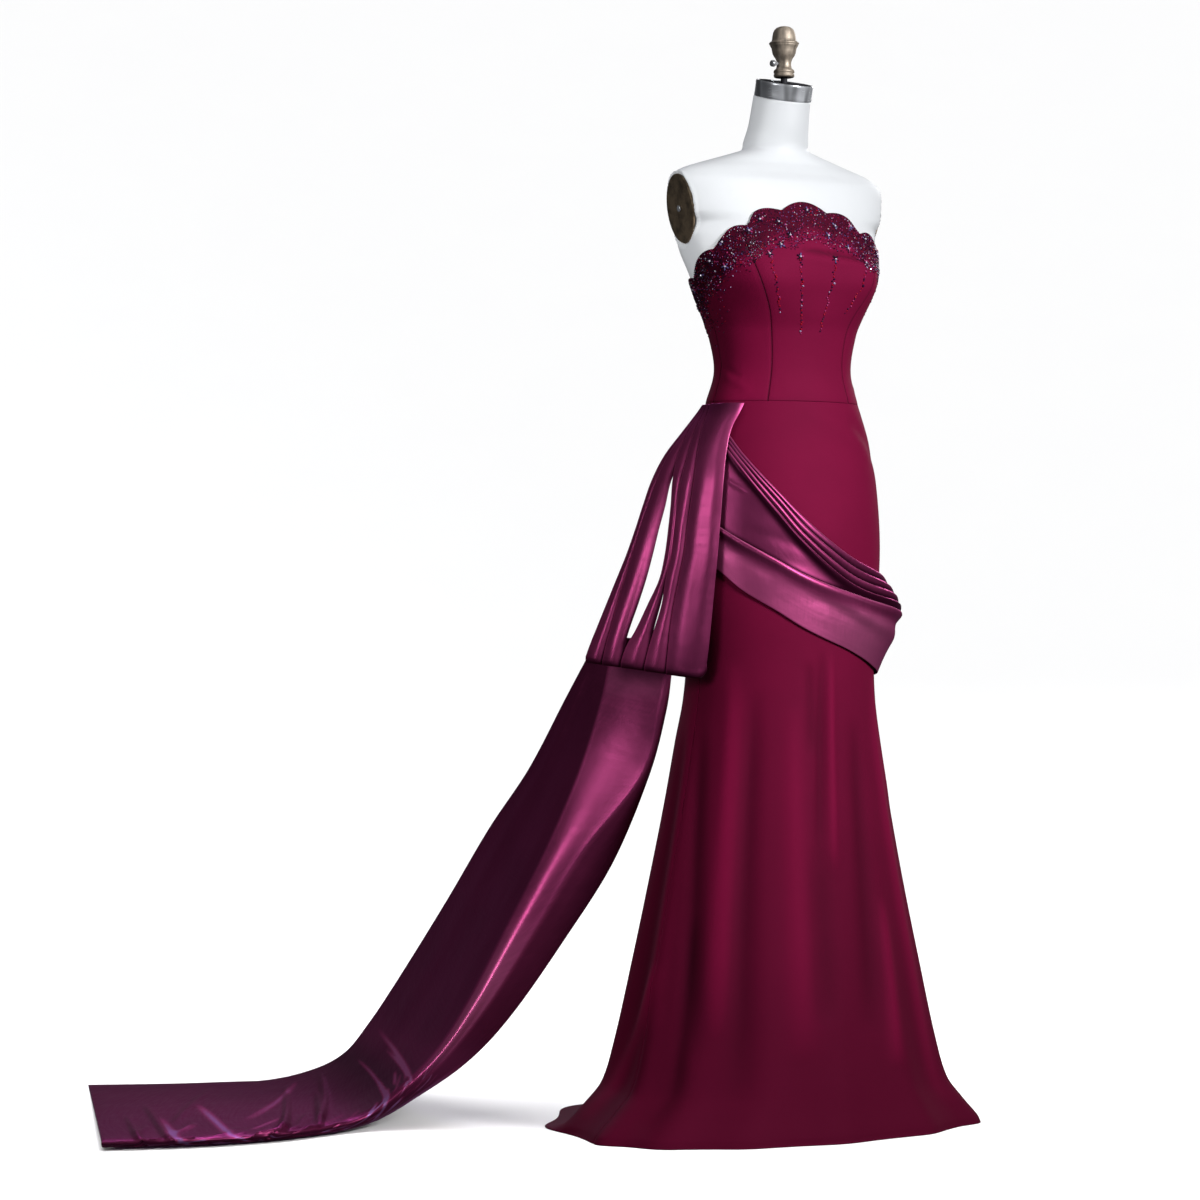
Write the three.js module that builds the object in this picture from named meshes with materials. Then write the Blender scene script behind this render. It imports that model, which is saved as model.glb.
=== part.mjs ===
// A strapless evening gown with a scalloped top edge, a satin hip drape and a long satin
// train, on a limbless dress form. Millimetres. +Z is up, the wearer's front faces -Y and
// the wearer's right is -X. The origin is on the floor, under the middle of the pole.
// Angles called "turn" go round the body in degrees: 0 is the centre front, 90 the wearer's
// left side, 180 the centre back and -90 the wearer's right side.
import * as THREE from 'three';

// ---- driving sizes ----
const CREPE = 1.6;            // wall of the crepe panels
const SATIN = 1.4;            // wall of the satin pieces
const SEAM_GAP = 0.3;         // between two pieces that are sewn together
const HALF_GAP_TURN = 0.1;    // degrees that half a seam gap takes up round the body
const FIT_GAP = 2.5;          // between the dress form and the inside of the gown
const WAIST_Z = 1085;         // the waist seam
const SCALLOPS = 14;          // round the top edge
const SCALLOP_CENTRE = -3.5;  // turn of the tallest one: the bodice sits a little to the right
const SCALLOP_RISE = 11;      // from a valley up to the top of a scallop
const COLUMNS_PER_SCALLOP = 4;
const BODICE_ROWS = 10;
const SLIVER = 2;             // no column of a panel is narrower than this, in degrees
const SKIRT_COLUMNS = { front: 28, back: 14 };
const DRAPE_COLUMNS = 28;
const DRAPE_FIT = 2.2;        // between the skirt and the top edge of a drape piece
const DRAPE_STEP = 3.4;       // how much a drape piece's fold stands out over the one above
const DRAPE_LAP = 3.5;        // how far a drape piece's fold rises over the one above
const DRAPE_START = -89.8;    // both ends are sewn into the right side seam
const DRAPE_END = 269.8;
const SASH_GAP = 1.4;         // between neighbouring pleats of the sash
const SASH_CROWN = 0.12;      // rise of a pleat's middle, as a share of its width
const SASH_TURN = 7;          // inner radius of the loop's lower turn
const SASH_BACK_TOP = 762;    // where the turned-up ends stop behind the loop
const FALL_TURN = 30.5;       // the plane of the sash and train is turned this far back
const FORM_COLUMNS = 36;
const FORM_BOTTOM_Z = 800;
const NECK_TOP = { y: 0, z: 1545 };
const NECK_TILT = 14;         // the neck cap leans forward
const ARM_PLATE = { x: 164, y: 22, z: 1373, lean: 0.16, depth: 36, height: 52, wall: 4 };
const POLE_RADIUS = 12;
const BASE = { radius: 140, edge: 8, height: 14, hub: 24 };

const radians = (degrees) => THREE.MathUtils.degToRad(degrees);

// ---- sections of the wearer and the skirt, from the floor up ----
// half: half width in X. front, back: depth before and behind the widest line. mid: its Y.
const SECTIONS = [
  { z: 0, half: 318, front: 180, back: 392, mid: 0 },
  { z: 3, half: 317, front: 179, back: 330, mid: 0 },
  { z: 12, half: 312, front: 178, back: 276, mid: 0 },
  { z: 42, half: 282, front: 173, back: 258, mid: 0 },
  { z: 72, half: 256, front: 169, back: 248, mid: 0 },
  { z: 131, half: 239, front: 161, back: 240, mid: 0 },
  { z: 251, half: 216, front: 147, back: 224, mid: 0 },
  { z: 371, half: 193, front: 132, back: 207, mid: 0 },
  { z: 491, half: 171, front: 120, back: 186, mid: 0 },
  { z: 581, half: 156, front: 113, back: 170, mid: 0 },
  { z: 641, half: 148, front: 110, back: 150, mid: 0 },
  { z: 700, half: 146, front: 109, back: 138, mid: 0 },
  { z: 790, half: 153, front: 111, back: 130, mid: 0 },
  { z: 881, half: 157, front: 112, back: 125, mid: 0 },
  { z: 971, half: 152, front: 102, back: 112, mid: 0 },
  { z: 1031, half: 140, front: 93, back: 100, mid: 0 },
  { z: 1085, half: 122, front: 85, back: 94, mid: 0 },
  { z: 1134, half: 109, front: 79, back: 81, mid: 0 },
  { z: 1190, half: 118, front: 84, back: 90, mid: 0 },
  { z: 1217, half: 129, front: 91, back: 94, mid: 0 },
  { z: 1241, half: 141, front: 96, back: 97, mid: 0 },
  { z: 1265, half: 150, front: 101, back: 99, mid: 0 },
  { z: 1295, half: 155, front: 103, back: 103, mid: 1 },
  { z: 1330, half: 154, front: 97, back: 108, mid: 4 },
  { z: 1350, half: 158, front: 92, back: 109, mid: 8 },
  { z: 1366, half: 173, front: 87, back: 108, mid: 11 },
  { z: 1391, half: 182, front: 81, back: 107, mid: 14 },
  { z: 1415, half: 182, front: 72, back: 103, mid: 14 },
  { z: 1428, half: 174, front: 65, back: 97, mid: 18 },
  { z: 1436, half: 159, front: 60, back: 90, mid: 19 },
  { z: 1444, half: 134, front: 55, back: 82, mid: 20 },
  { z: 1454, half: 100, front: 51, back: 72, mid: 20 },
  { z: 1462, half: 72, front: 50, back: 62, mid: 21 },
  { z: 1468, half: 54, front: 49, back: 55, mid: 20 },
  { z: 1478, half: 52, front: 48, back: 53, mid: 18 },
  { z: 1500, half: 48, front: 46, back: 49, mid: 11 },
  { z: 1560, half: 43.5, front: 43.5, back: 43.5, mid: -4 },
];

// Soft vertical folds of the skirt: turn of each ridge, its width, and its height at the hem.
const FLUTES = [
  { turn: -152, width: 12, rise: 24 },
  { turn: -117, width: 9, rise: 22 },
  { turn: -86, width: 8, rise: 14 },
  { turn: -58, width: 8, rise: 10 },
  { turn: -31, width: 8, rise: 7 },
  { turn: -3, width: 8, rise: 8 },
  { turn: 28, width: 8, rise: 9 },
  { turn: 60, width: 8, rise: 19 },
  { turn: 92, width: 9, rise: 14 },
  { turn: 124, width: 11, rise: 24 },
  { turn: 158, width: 12, rise: 20 },
];
const FLUTE_TOP_Z = 660;
const FLUTE_GROWTH = 2.2;

// The bust: two soft mounds, at the same height on each side of the centre front.
const BUST = { turn: 36, z: 1262, rise: 14, width: 20, height: 42 };
// The form is fuller below each armhole.
const ARMPIT = { turn: 108, z: 1328, rise: 17, width: 30, height: 30 };

// Valleys of the scalloped top edge, round from the centre back to the centre back.
const TOP_EDGE = [
  { turn: -180, z: 1246 },
  { turn: -145, z: 1247 },
  { turn: -119, z: 1252 },
  { turn: -94, z: 1268 },
  { turn: -68, z: 1308 },
  { turn: -42, z: 1343 },
  { turn: -16, z: 1367.5 },
  { turn: -3.5, z: 1371 },
  { turn: 9, z: 1367 },
  { turn: 35, z: 1340 },
  { turn: 61, z: 1322 },
  { turn: 87, z: 1284 },
  { turn: 112, z: 1260 },
  { turn: 138, z: 1249 },
  { turn: 180, z: 1246 },
];

// The princess seam and the seams behind it, from the waist (share 0) to the top (share 1).
const SEAMS = [
  { share: 0, princess: 36, side: 90, back: 138 },
  { share: 0.45, princess: 34, side: 90, back: 136 },
  { share: 0.7, princess: 39, side: 90, back: 133 },
  { share: 1, princess: 48, side: 90, back: 132 },
];

// Heights of the drape's lines round the body, and how far the drape stands off the hip.
const DRAPE = [
  { turn: -90, top: 1062, fold2: 1054, fold3: 1047, fold4: 1040, band: 930, hem: 866, proud: 0 },
  { turn: -66, top: 1043, fold2: 1036, fold3: 1029, fold4: 1021, band: 900, hem: 836, proud: 0 },
  { turn: -50, top: 1008, fold2: 1001, fold3: 994, fold4: 985, band: 877, hem: 806, proud: 0 },
  { turn: -30, top: 958, fold2: 948, fold3: 937, fold4: 925, band: 849, hem: 776, proud: 0 },
  { turn: -15, top: 917, fold2: 903, fold3: 890, fold4: 878, band: 828, hem: 752, proud: 1 },
  { turn: 0, top: 883, fold2: 868, fold3: 854, fold4: 841, band: 812, hem: 734, proud: 2 },
  { turn: 15, top: 858, fold2: 842, fold3: 828, fold4: 815, band: 800, hem: 720, proud: 4 },
  { turn: 30, top: 843, fold2: 827, fold3: 813, fold4: 800, band: 789, hem: 706, proud: 11 },
  { turn: 50, top: 832, fold2: 816, fold3: 803, fold4: 790, band: 778, hem: 690, proud: 23 },
  { turn: 75, top: 824, fold2: 808, fold3: 795, fold4: 782, band: 768, hem: 680, proud: 31 },
  { turn: 110, top: 822, fold2: 806, fold3: 792, fold4: 779, band: 761, hem: 677, proud: 22 },
  { turn: 150, top: 842, fold2: 826, fold3: 811, fold4: 798, band: 772, hem: 692, proud: 9 },
  { turn: 190, top: 893, fold2: 879, fold3: 866, fold4: 854, band: 810, hem: 732, proud: 6 },
  { turn: 230, top: 977, fold2: 966, fold3: 955, fold4: 945, band: 870, hem: 798, proud: 3 },
  { turn: 270, top: 1062, fold2: 1054, fold3: 1047, fold4: 1040, band: 930, hem: 866, proud: 0 },
];
// The stand-off over the drape's height, from its top line (share 0) to its hem (share 1).
const DRAPE_BULGE = [
  { share: 0, push: 0 },
  { share: 0.2, push: 0.72 },
  { share: 0.36, push: 1 },
  { share: 0.48, push: 0.86 },
  { share: 0.6, push: 0.88 },
  { share: 0.8, push: 0.45 },
  { share: 1, push: 0.05 },
];

// The sash: how far each pleat edge lies towards the wearer's right, in the plane of the
// fall, and how far the inner and outer edges lie behind (+) or before (-) the form's axis.
const SASH = [
  { z: 1082, p1: 121, p2: 117, p2e: 113, p3: 113, p3e: 109, p4: 109, p5: 105, p5e: 64,
    inner: -99, outer: -42, bow: 16 },
  { z: 1068, p1: 134, p2: 129.5, p2e: 125, p3: 125, p3e: 121, p4: 121, p5: 117, p5e: 71,
    inner: -105, outer: -42, bow: 15 },
  { z: 1027, p1: 164, p2: 155, p2e: 148, p3: 148, p3e: 142, p4: 142, p5: 133, p5e: 88,
    inner: -115, outer: -48, bow: 12 },
  { z: 967, p1: 196, p2: 185, p2e: 172, p3: 171, p3e: 160, p4: 158, p5: 143, p5e: 96,
    inner: -127, outer: -60, bow: 10 },
  { z: 909, p1: 217, p2: 209, p2e: 188, p3: 180, p3e: 170, p4: 166, p5: 151, p5e: 98,
    inner: -132, outer: -66, bow: 9 },
  { z: 850, p1: 237, p2: 226, p2e: 199, p3: 185, p3e: 176, p4: 172, p5: 156, p5e: 105,
    inner: -134, outer: -70, bow: 8 },
  { z: 791, p1: 263, p2: 244, p2e: 217, p3: 200, p3e: 190, p4: 184, p5: 163, p5e: 115,
    inner: -132, outer: -73, bow: 8 },
  { z: 733, p1: 288, p2: 262, p2e: 238, p3: 229, p3e: 207, p4: 200, p5: 171, p5e: 121,
    inner: -128, outer: -75, bow: 8 },
  { z: 690, p1: 301, p2: 273, p2e: 248, p3: 246, p3e: 212, p4: 211, p5: 177, p5e: 128,
    inner: -122, outer: -74, bow: 8 },
];
const SASH_PLEATS = [
  { name: 'sash_pleat_1', far: 'p1', near: 'p2' },
  { name: 'sash_pleat_2', far: 'p2', near: 'p2e' },
  { name: 'sash_pleat_3', far: 'p3', near: 'p3e' },
  { name: 'sash_pleat_4', far: 'p4', near: 'p5' },
  { name: 'sash_pleat_5', far: 'p5', near: 'p5e' },
];

// The train, a row for each station down its length. Four lines run along it: its far edge,
// two ridges and its near edge. Each has a distance out to the wearer's right, a distance
// behind the form's axis, and a height.
const TRAIN = [
  { far: [276, -6, 736], ridge1: [250, -20, 736], ridge2: [180, -58, 735], near: [162, -66, 735] },
  { far: [293, 41, 706], ridge1: [259, 18, 701], ridge2: [178, -46, 696], near: [166, -52, 693] },
  { far: [328, 90, 639], ridge1: [273, 20, 634], ridge2: [187, -36, 628], near: [176, -25, 624] },
  { far: [383, 150, 533], ridge1: [305, 10, 533], ridge2: [212, -22, 530], near: [202, 0, 526] },
  { far: [447, 215, 436], ridge1: [354, 0, 417], ridge2: [300, -18, 416], near: [255, 22, 397] },
  { far: [516, 290, 318], ridge1: [415, -5, 297], ridge2: [373, -17, 298], near: [329, 32, 279] },
  { far: [594, 380, 191], ridge1: [469, -10, 193], ridge2: [438, -17, 194], near: [406, 36, 169] },
  { far: [649, 450, 107], ridge1: [517, -12, 118], ridge2: [497, -16, 118], near: [469, 28, 101] },
  { far: [695, 515, 50], ridge1: [571, -17, 66], ridge2: [554, -18, 60], near: [542, 16, 50] },
  { far: [755, 545, 18], ridge1: [640, -40, 22], ridge2: [632, -44, 12], near: [626, -18, 8] },
  { far: [840, 555, 0], ridge1: [748, -140, 15], ridge2: [744, -150, 6], near: [735, -128, 4] },
  { far: [975, 522, 0], ridge1: [868, -200, 15], ridge2: [866, -208, 6], near: [858, -186, 4] },
  { far: [1112, 505, 0], ridge1: [992, -226, 15], ridge2: [989, -235, 6], near: [980, -212, 4] },
];
const TRAIN_LINES = [
  { share: 0, line: 'far' },
  { share: 0.5, line: 'ridge1' },
  { share: 0.75, line: 'ridge2' },
  { share: 1, line: 'near' },
];
const TRAIN_COLUMNS = 12;
const TRAIN_ROWS = 24;

// ---- reading the tables ----
// A smooth curve through values at uneven stations.
function smoothThrough(stations, values, at) {
  const last = stations.length - 1;
  const held = THREE.MathUtils.clamp(at, stations[0], stations[last]);
  let i = 0;
  while (i < last - 1 && held > stations[i + 1]) i += 1;
  const slope = (k) => {
    const before = Math.max(k - 1, 0);
    const after = Math.min(k + 1, last);
    return (values[after] - values[before]) / (stations[after] - stations[before]);
  };
  const span = stations[i + 1] - stations[i];
  const t = (held - stations[i]) / span;
  const t2 = t * t;
  const t3 = t2 * t;
  return values[i] * (2 * t3 - 3 * t2 + 1) + slope(i) * span * (t3 - 2 * t2 + t)
    + values[i + 1] * (3 * t2 - 2 * t3) + slope(i + 1) * span * (t3 - t2);
}

// The value of one named column of a table at a place in its key column.
function readTable(table, key, column, at) {
  const rows = table[0][key] <= table[table.length - 1][key] ? table : [...table].reverse();
  return smoothThrough(rows.map((row) => row[key]), rows.map((row) => row[column]), at);
}

// A soft bump: 1 at the middle, falling to 0 over about two widths.
const bump = (distance, width) => Math.exp(-((distance / width) ** 2));

// The shorter way round from one turn to another, in degrees.
const turnBetween = (a, b) => THREE.MathUtils.euclideanModulo(a - b + 180, 360) - 180;

// ---- the body and skirt surface ----
// The inner face of the gown, at a turn and a height. outward moves it along its normal.
function bodyPoint(turn, z, outward = 0) {
  const half = readTable(SECTIONS, 'z', 'half', z);
  const sine = Math.sin(radians(turn));
  const cosine = Math.cos(radians(turn));
  const depth = readTable(SECTIONS, 'z', cosine > 0 ? 'front' : 'back', z);
  const point = new THREE.Vector3(half * sine, readTable(SECTIONS, 'z', 'mid', z) - depth * cosine, z);
  const normal = new THREE.Vector3(sine / half, -cosine / depth, 0).normalize();
  let push = outward;
  for (const side of [-1, 1]) {
    const across = bump(turnBetween(turn, side * BUST.turn), BUST.width);
    push += BUST.rise * across * bump(z - BUST.z, BUST.height);
    const aside = bump(turnBetween(turn, side * ARMPIT.turn), ARMPIT.width);
    push += ARMPIT.rise * aside * bump(z - ARMPIT.z, ARMPIT.height);
  }
  if (z < FLUTE_TOP_Z) {
    const growth = (1 - z / FLUTE_TOP_Z) ** FLUTE_GROWTH;
    for (const flute of FLUTES) {
      push += flute.rise * growth * bump(turnBetween(turn, flute.turn), flute.width);
    }
  }
  return point.addScaledVector(normal, push);
}

// The top edge of the bodice: round scallops between valleys.
function topEdgeZ(turn) {
  const valley = readTable(TOP_EDGE, 'turn', 'z', turnBetween(turn, 0));
  return valley + SCALLOP_RISE * Math.abs(Math.cos(radians(turn - SCALLOP_CENTRE) * SCALLOPS / 2));
}

// ---- closed walls ----
const SLOPE_STEP = 1e-3;      // share of a sheet over which its slope is read

const evenly = (count) => Array.from({ length: count + 1 }, (_, i) => i / count);

// A closed wall of cloth. inner(u, v) is its inner face: u runs from the wearer's right to
// the left and v runs down, each over its own stations from 0 to 1. The outer face is moved
// out along the normal by the wall.
function clothWall(across, down, wall, inner) {
  const columns = across.length - 1;
  const rows = down.length - 1;
  const positions = [];
  const outerPoints = [];
  for (const u of across) {
    for (const v of down) {
      const point = inner(u, v);
      const along = inner(u + SLOPE_STEP, v).sub(inner(u - SLOPE_STEP, v));
      const fall = inner(u, v + SLOPE_STEP).sub(inner(u, v - SLOPE_STEP));
      const normal = fall.cross(along).normalize();
      outerPoints.push(point.clone().addScaledVector(normal, wall));
      positions.push(point.x, point.y, Math.max(point.z, 0));
    }
  }
  const count = outerPoints.length;
  for (const point of outerPoints) positions.push(point.x, point.y, Math.max(point.z, 0));
  const innerAt = (i, j) => i * (rows + 1) + j;
  const outerAt = (i, j) => count + innerAt(i, j);
  const index = [];
  const quad = (a, b, c, d) => index.push(a, b, c, c, b, d);
  for (let i = 0; i < columns; i += 1) {
    for (let j = 0; j < rows; j += 1) {
      quad(outerAt(i, j), outerAt(i, j + 1), outerAt(i + 1, j), outerAt(i + 1, j + 1));
      quad(innerAt(i + 1, j), innerAt(i + 1, j + 1), innerAt(i, j), innerAt(i, j + 1));
    }
    quad(innerAt(i, 0), outerAt(i, 0), innerAt(i + 1, 0), outerAt(i + 1, 0));
    quad(outerAt(i, rows), innerAt(i, rows), outerAt(i + 1, rows), innerAt(i + 1, rows));
  }
  for (let j = 0; j < rows; j += 1) {
    quad(innerAt(0, j), innerAt(0, j + 1), outerAt(0, j), outerAt(0, j + 1));
    quad(outerAt(columns, j), outerAt(columns, j + 1), innerAt(columns, j), innerAt(columns, j + 1));
  }
  const geometry = new THREE.BufferGeometry();
  geometry.setAttribute('position', new THREE.Float32BufferAttribute(positions, 3));
  geometry.setIndex(index);
  return geometry;
}

// A closed solid through level rings, with a flat cap at each end. ringAt(turn, level) gives
// a point of a ring, and the levels go up.
function ringSolid(columns, levels, ringAt) {
  const positions = [];
  for (const level of levels) {
    for (let i = 0; i < columns; i += 1) {
      const point = ringAt((360 * i) / columns, level);
      positions.push(point.x, point.y, point.z);
    }
  }
  const index = [];
  for (let j = 0; j < levels.length - 1; j += 1) {
    for (let i = 0; i < columns; i += 1) {
      const next = (i + 1) % columns;
      const low = j * columns;
      const high = low + columns;
      index.push(low + i, low + next, high + i, high + i, low + next, high + next);
    }
  }
  const top = (levels.length - 1) * columns;
  for (let i = 1; i < columns - 1; i += 1) {
    index.push(0, i + 1, i);
    index.push(top, top + i, top + i + 1);
  }
  const geometry = new THREE.BufferGeometry();
  geometry.setAttribute('position', new THREE.Float32BufferAttribute(positions, 3));
  geometry.setIndex(index);
  return geometry;
}

// ---- materials ----
const paint = (color, roughness, metalness) => () => (
  new THREE.MeshStandardMaterial({ color, roughness, metalness, side: THREE.DoubleSide })
);
const crepe = paint(0x7b1138, 0.75, 0);
const satin = paint(0x7a2f5c, 0.35, 0);
const shell = paint(0xe9edf2, 0.6, 0);
const steel = paint(0xb8bcc2, 0.3, 1);
const bronze = paint(0x8a765a, 0.4, 0.9);
const blackPlate = paint(0x202226, 0.5, 0.3);

const gown = new THREE.Group();
const add = (name, geometry, material, parent = gown) => {
  const mesh = new THREE.Mesh(geometry, material());
  mesh.name = name;
  parent.add(mesh);
  return mesh;
};

// ---- bodice ----
// Stations across a panel: its two ends and every quarter of a scallop between them.
function scallopStations(first, last) {
  const quarter = 360 / SCALLOPS / COLUMNS_PER_SCALLOP;
  const stations = [0];
  const start = Math.ceil((first + SLIVER - SCALLOP_CENTRE) / quarter);
  for (let i = start; SCALLOP_CENTRE + i * quarter < last - SLIVER; i += 1) {
    stations.push((SCALLOP_CENTRE + i * quarter - first) / (last - first));
  }
  return [...stations, 1];
}

// A panel between two seams. Each seam gives its turn at a share of the height, and a panel
// stops half a seam gap short of it.
function bodicePanel(name, leftSeam, rightSeam) {
  const inner = (u, v) => {
    const share = 1 - v;
    const turn = THREE.MathUtils.lerp(leftSeam(share), rightSeam(share), u);
    const low = WAIST_Z + SEAM_GAP / 2;
    return bodyPoint(turn, THREE.MathUtils.lerp(low, topEdgeZ(turn), share));
  };
  const across = scallopStations(leftSeam(1), rightSeam(1));
  add(name, clothWall(across, evenly(BODICE_ROWS), CREPE, inner), crepe);
}

const seamTurn = (seam, side, inset) => (share) => (
  side * readTable(SEAMS, 'share', seam, THREE.MathUtils.clamp(share, 0, 1)) + inset
);
const seamAt = (turn) => () => turn;

function addBodice() {
  bodicePanel('bodice_centre_front', seamTurn('princess', -1, HALF_GAP_TURN),
    seamTurn('princess', 1, -HALF_GAP_TURN));
  for (const [side, hand] of [[-1, 'right'], [1, 'left']]) {
    const between = (name, front, back) => {
      const ends = side < 0 ? [back, front] : [front, back];
      bodicePanel(`${name}_${hand}`, ends[0], ends[1]);
    };
    const gap = side * HALF_GAP_TURN;
    between('bodice_side_front', seamTurn('princess', side, gap), seamTurn('side', side, -gap));
    between('bodice_side_back', seamTurn('side', side, gap), seamTurn('back', side, -gap));
    between('bodice_centre_back', seamTurn('back', side, gap), seamAt(side * 180 - gap));
  }
}

// ---- skirt ----
const SKIRT_LEVELS = [1085, 1040, 985, 910, 820, 720, 640, 550, 450, 350, 250, 160, 95, 50, 20, 5, 0];

function skirtPanel(name, columns, firstTurn, lastTurn) {
  const shares = evenly(SKIRT_LEVELS.length - 1);
  const inner = (u, v) => {
    const turn = THREE.MathUtils.lerp(firstTurn + HALF_GAP_TURN, lastTurn - HALF_GAP_TURN, u);
    const z = smoothThrough(shares, SKIRT_LEVELS, v);
    return bodyPoint(turn, Math.min(z, WAIST_Z - SEAM_GAP / 2));
  };
  add(name, clothWall(evenly(columns), shares, CREPE, inner), crepe);
}

function addSkirt() {
  skirtPanel('skirt_front', SKIRT_COLUMNS.front, -90, 90);
  skirtPanel('skirt_back_right', SKIRT_COLUMNS.back, -180, -90);
  skirtPanel('skirt_back_left', SKIRT_COLUMNS.back, 90, 180);
}

// ---- hip drape ----
// Each piece starts with a fold that stands out over the piece above it, and its lower edge
// lies close to the skirt, under the next fold.
function drapePiece(name, rows, topLine, nextLine) {
  const inner = (u, v) => {
    const turn = THREE.MathUtils.lerp(DRAPE_START, DRAPE_END, u);
    const read = (column) => readTable(DRAPE, 'turn', column, turn);
    const top = read(topLine) + (topLine === 'top' ? 0 : DRAPE_LAP);
    const z = THREE.MathUtils.lerp(top, read(nextLine), v);
    const share = (read('top') - z) / (read('top') - read('hem'));
    const push = read('proud') * readTable(DRAPE_BULGE, 'share', 'push', share);
    const fold = DRAPE_STEP * (1 - THREE.MathUtils.smoothstep(v, 0, 1));
    return bodyPoint(turn, z, CREPE + DRAPE_FIT + fold + push);
  };
  add(name, clothWall(evenly(DRAPE_COLUMNS), evenly(rows), SATIN, inner), satin);
}

function addDrape() {
  drapePiece('drape_pleat_1', 2, 'top', 'fold2');
  drapePiece('drape_pleat_2', 2, 'fold2', 'fold3');
  drapePiece('drape_pleat_3', 2, 'fold3', 'fold4');
  drapePiece('drape_panel', 4, 'fold4', 'band');
  drapePiece('drape_band', 4, 'band', 'hem');
}

// ---- sash and train ----
// A point given by its distance out to the wearer's right and back, in the turned plane.
function fallPoint(out, back, z) {
  const sine = Math.sin(radians(FALL_TURN));
  const cosine = Math.cos(radians(FALL_TURN));
  return new THREE.Vector3(back * sine - out * cosine, out * sine + back * cosine, z);
}

// How far behind the axis the front of the sash lies, at a height and a distance out.
function sashBack(z, out) {
  const read = (column) => readTable(SASH, 'z', column, z);
  const share = (out - read('p5e')) / (read('p1') - read('p5e'));
  return THREE.MathUtils.lerp(read('inner'), read('outer'), share)
    - read('bow') * 4 * share * (1 - share);
}

const SASH_TOP_Z = 1082;
const SASH_LOW = { z: 682, out: 128, slope: 0.139 };  // lowest at its near edge
const SASH_ROWS = { front: 11, turn: 3, back: 2 };
const SASH_COLUMNS = 3;
const SASH_BACK_LEAN = 10;    // how far back the turned-up ends lean

// One pleat of the sash: down the front, round the lower turn and up behind.
function sashPleat(name, far, near) {
  const rows = SASH_ROWS.front + SASH_ROWS.turn + SASH_ROWS.back;
  const turnStart = SASH_ROWS.front / rows;
  const turnEnd = (SASH_ROWS.front + SASH_ROWS.turn) / rows;
  const hang = (edge) => SASH_LOW.z + SASH_LOW.slope * (SASH[SASH.length - 1][edge] - SASH_LOW.out);
  const inner = (u, v) => {
    const low = THREE.MathUtils.lerp(hang(far), hang(near), u);
    const height = THREE.MathUtils.lerp(SASH_TOP_Z, low, Math.min(v / turnStart, 1));
    const rise = Math.max(v - turnEnd, 0) / (1 - turnEnd);
    const level = height + rise * (SASH_BACK_TOP - low);
    const farOut = readTable(SASH, 'z', far, level) - SASH_GAP / 2;
    const nearOut = readTable(SASH, 'z', near, level) + SASH_GAP / 2;
    const out = THREE.MathUtils.lerp(farOut, nearOut, u);
    const crown = SASH_CROWN * (farOut - nearOut) * Math.sin(Math.PI * THREE.MathUtils.clamp(u, 0, 1));
    const front = sashBack(level, out) - crown;
    const angle = Math.PI * THREE.MathUtils.clamp((v - turnStart) / (turnEnd - turnStart), 0, 1);
    const back = front + SASH_TURN * (1 - Math.cos(angle)) + SASH_BACK_LEAN * rise;
    return fallPoint(out, back, level - SASH_TURN * Math.sin(angle));
  };
  add(name, clothWall(evenly(SASH_COLUMNS), evenly(rows), SATIN, inner), satin);
}

// The train: a smooth sheet through its four lines.
function trainPoint(u, v) {
  const rows = evenly(TRAIN.length - 1);
  const stations = TRAIN_LINES.map((entry) => entry.share);
  const place = [0, 1, 2].map((axis) => {
    const along = TRAIN_LINES.map(({ line }) => (
      smoothThrough(rows, TRAIN.map((row) => row[line][axis]), v)
    ));
    return smoothThrough(stations, along, u);
  });
  return fallPoint(place[0], place[1], Math.max(place[2], 0));
}

function addSash() {
  for (const pleat of SASH_PLEATS) sashPleat(pleat.name, pleat.far, pleat.near);
  add('train', clothWall(evenly(TRAIN_COLUMNS), evenly(TRAIN_ROWS), SATIN, trainPoint), satin);
}

// ---- dress form ----
const FORM_LOW_EDGE = 6;      // rounding of the lower edge
const FORM_LEVELS = [
  FORM_BOTTOM_Z, FORM_BOTTOM_Z + FORM_LOW_EDGE, 850, 905, 960, 1010, 1050, 1085, 1110, 1134,
  1162, 1190, 1217, 1241, 1265, 1295, 1330, 1350, 1366, 1391, 1415, 1428, 1436, 1444, 1454,
  1462, 1468, 1478, 1500, 1538,
];
const ARMHOLE_LOW_Z = 1262;   // the sides are cut flat above this height

// The form's surface, flat at each armhole and cut off level with the neck cap at the top.
function formPoint(turn, z) {
  const inset = FIT_GAP + (z === FORM_BOTTOM_Z ? FORM_LOW_EDGE : 0);
  const point = bodyPoint(turn, z, -inset);
  const flat = ARM_PLATE.x + ARM_PLATE.lean * (z - ARM_PLATE.z);
  if (z > ARMHOLE_LOW_Z) point.x = THREE.MathUtils.clamp(point.x, -flat, flat);
  if (z === FORM_LEVELS[FORM_LEVELS.length - 1]) {
    point.z = NECK_TOP.z - SEAM_GAP + (point.y - NECK_TOP.y) * Math.tan(radians(NECK_TILT));
  }
  return point;
}

function lathe(profile, segments = 20) {
  const points = profile.map(([radius, height]) => new THREE.Vector2(radius, height));
  return new THREE.LatheGeometry(points, segments).rotateX(Math.PI / 2);
}

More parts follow.
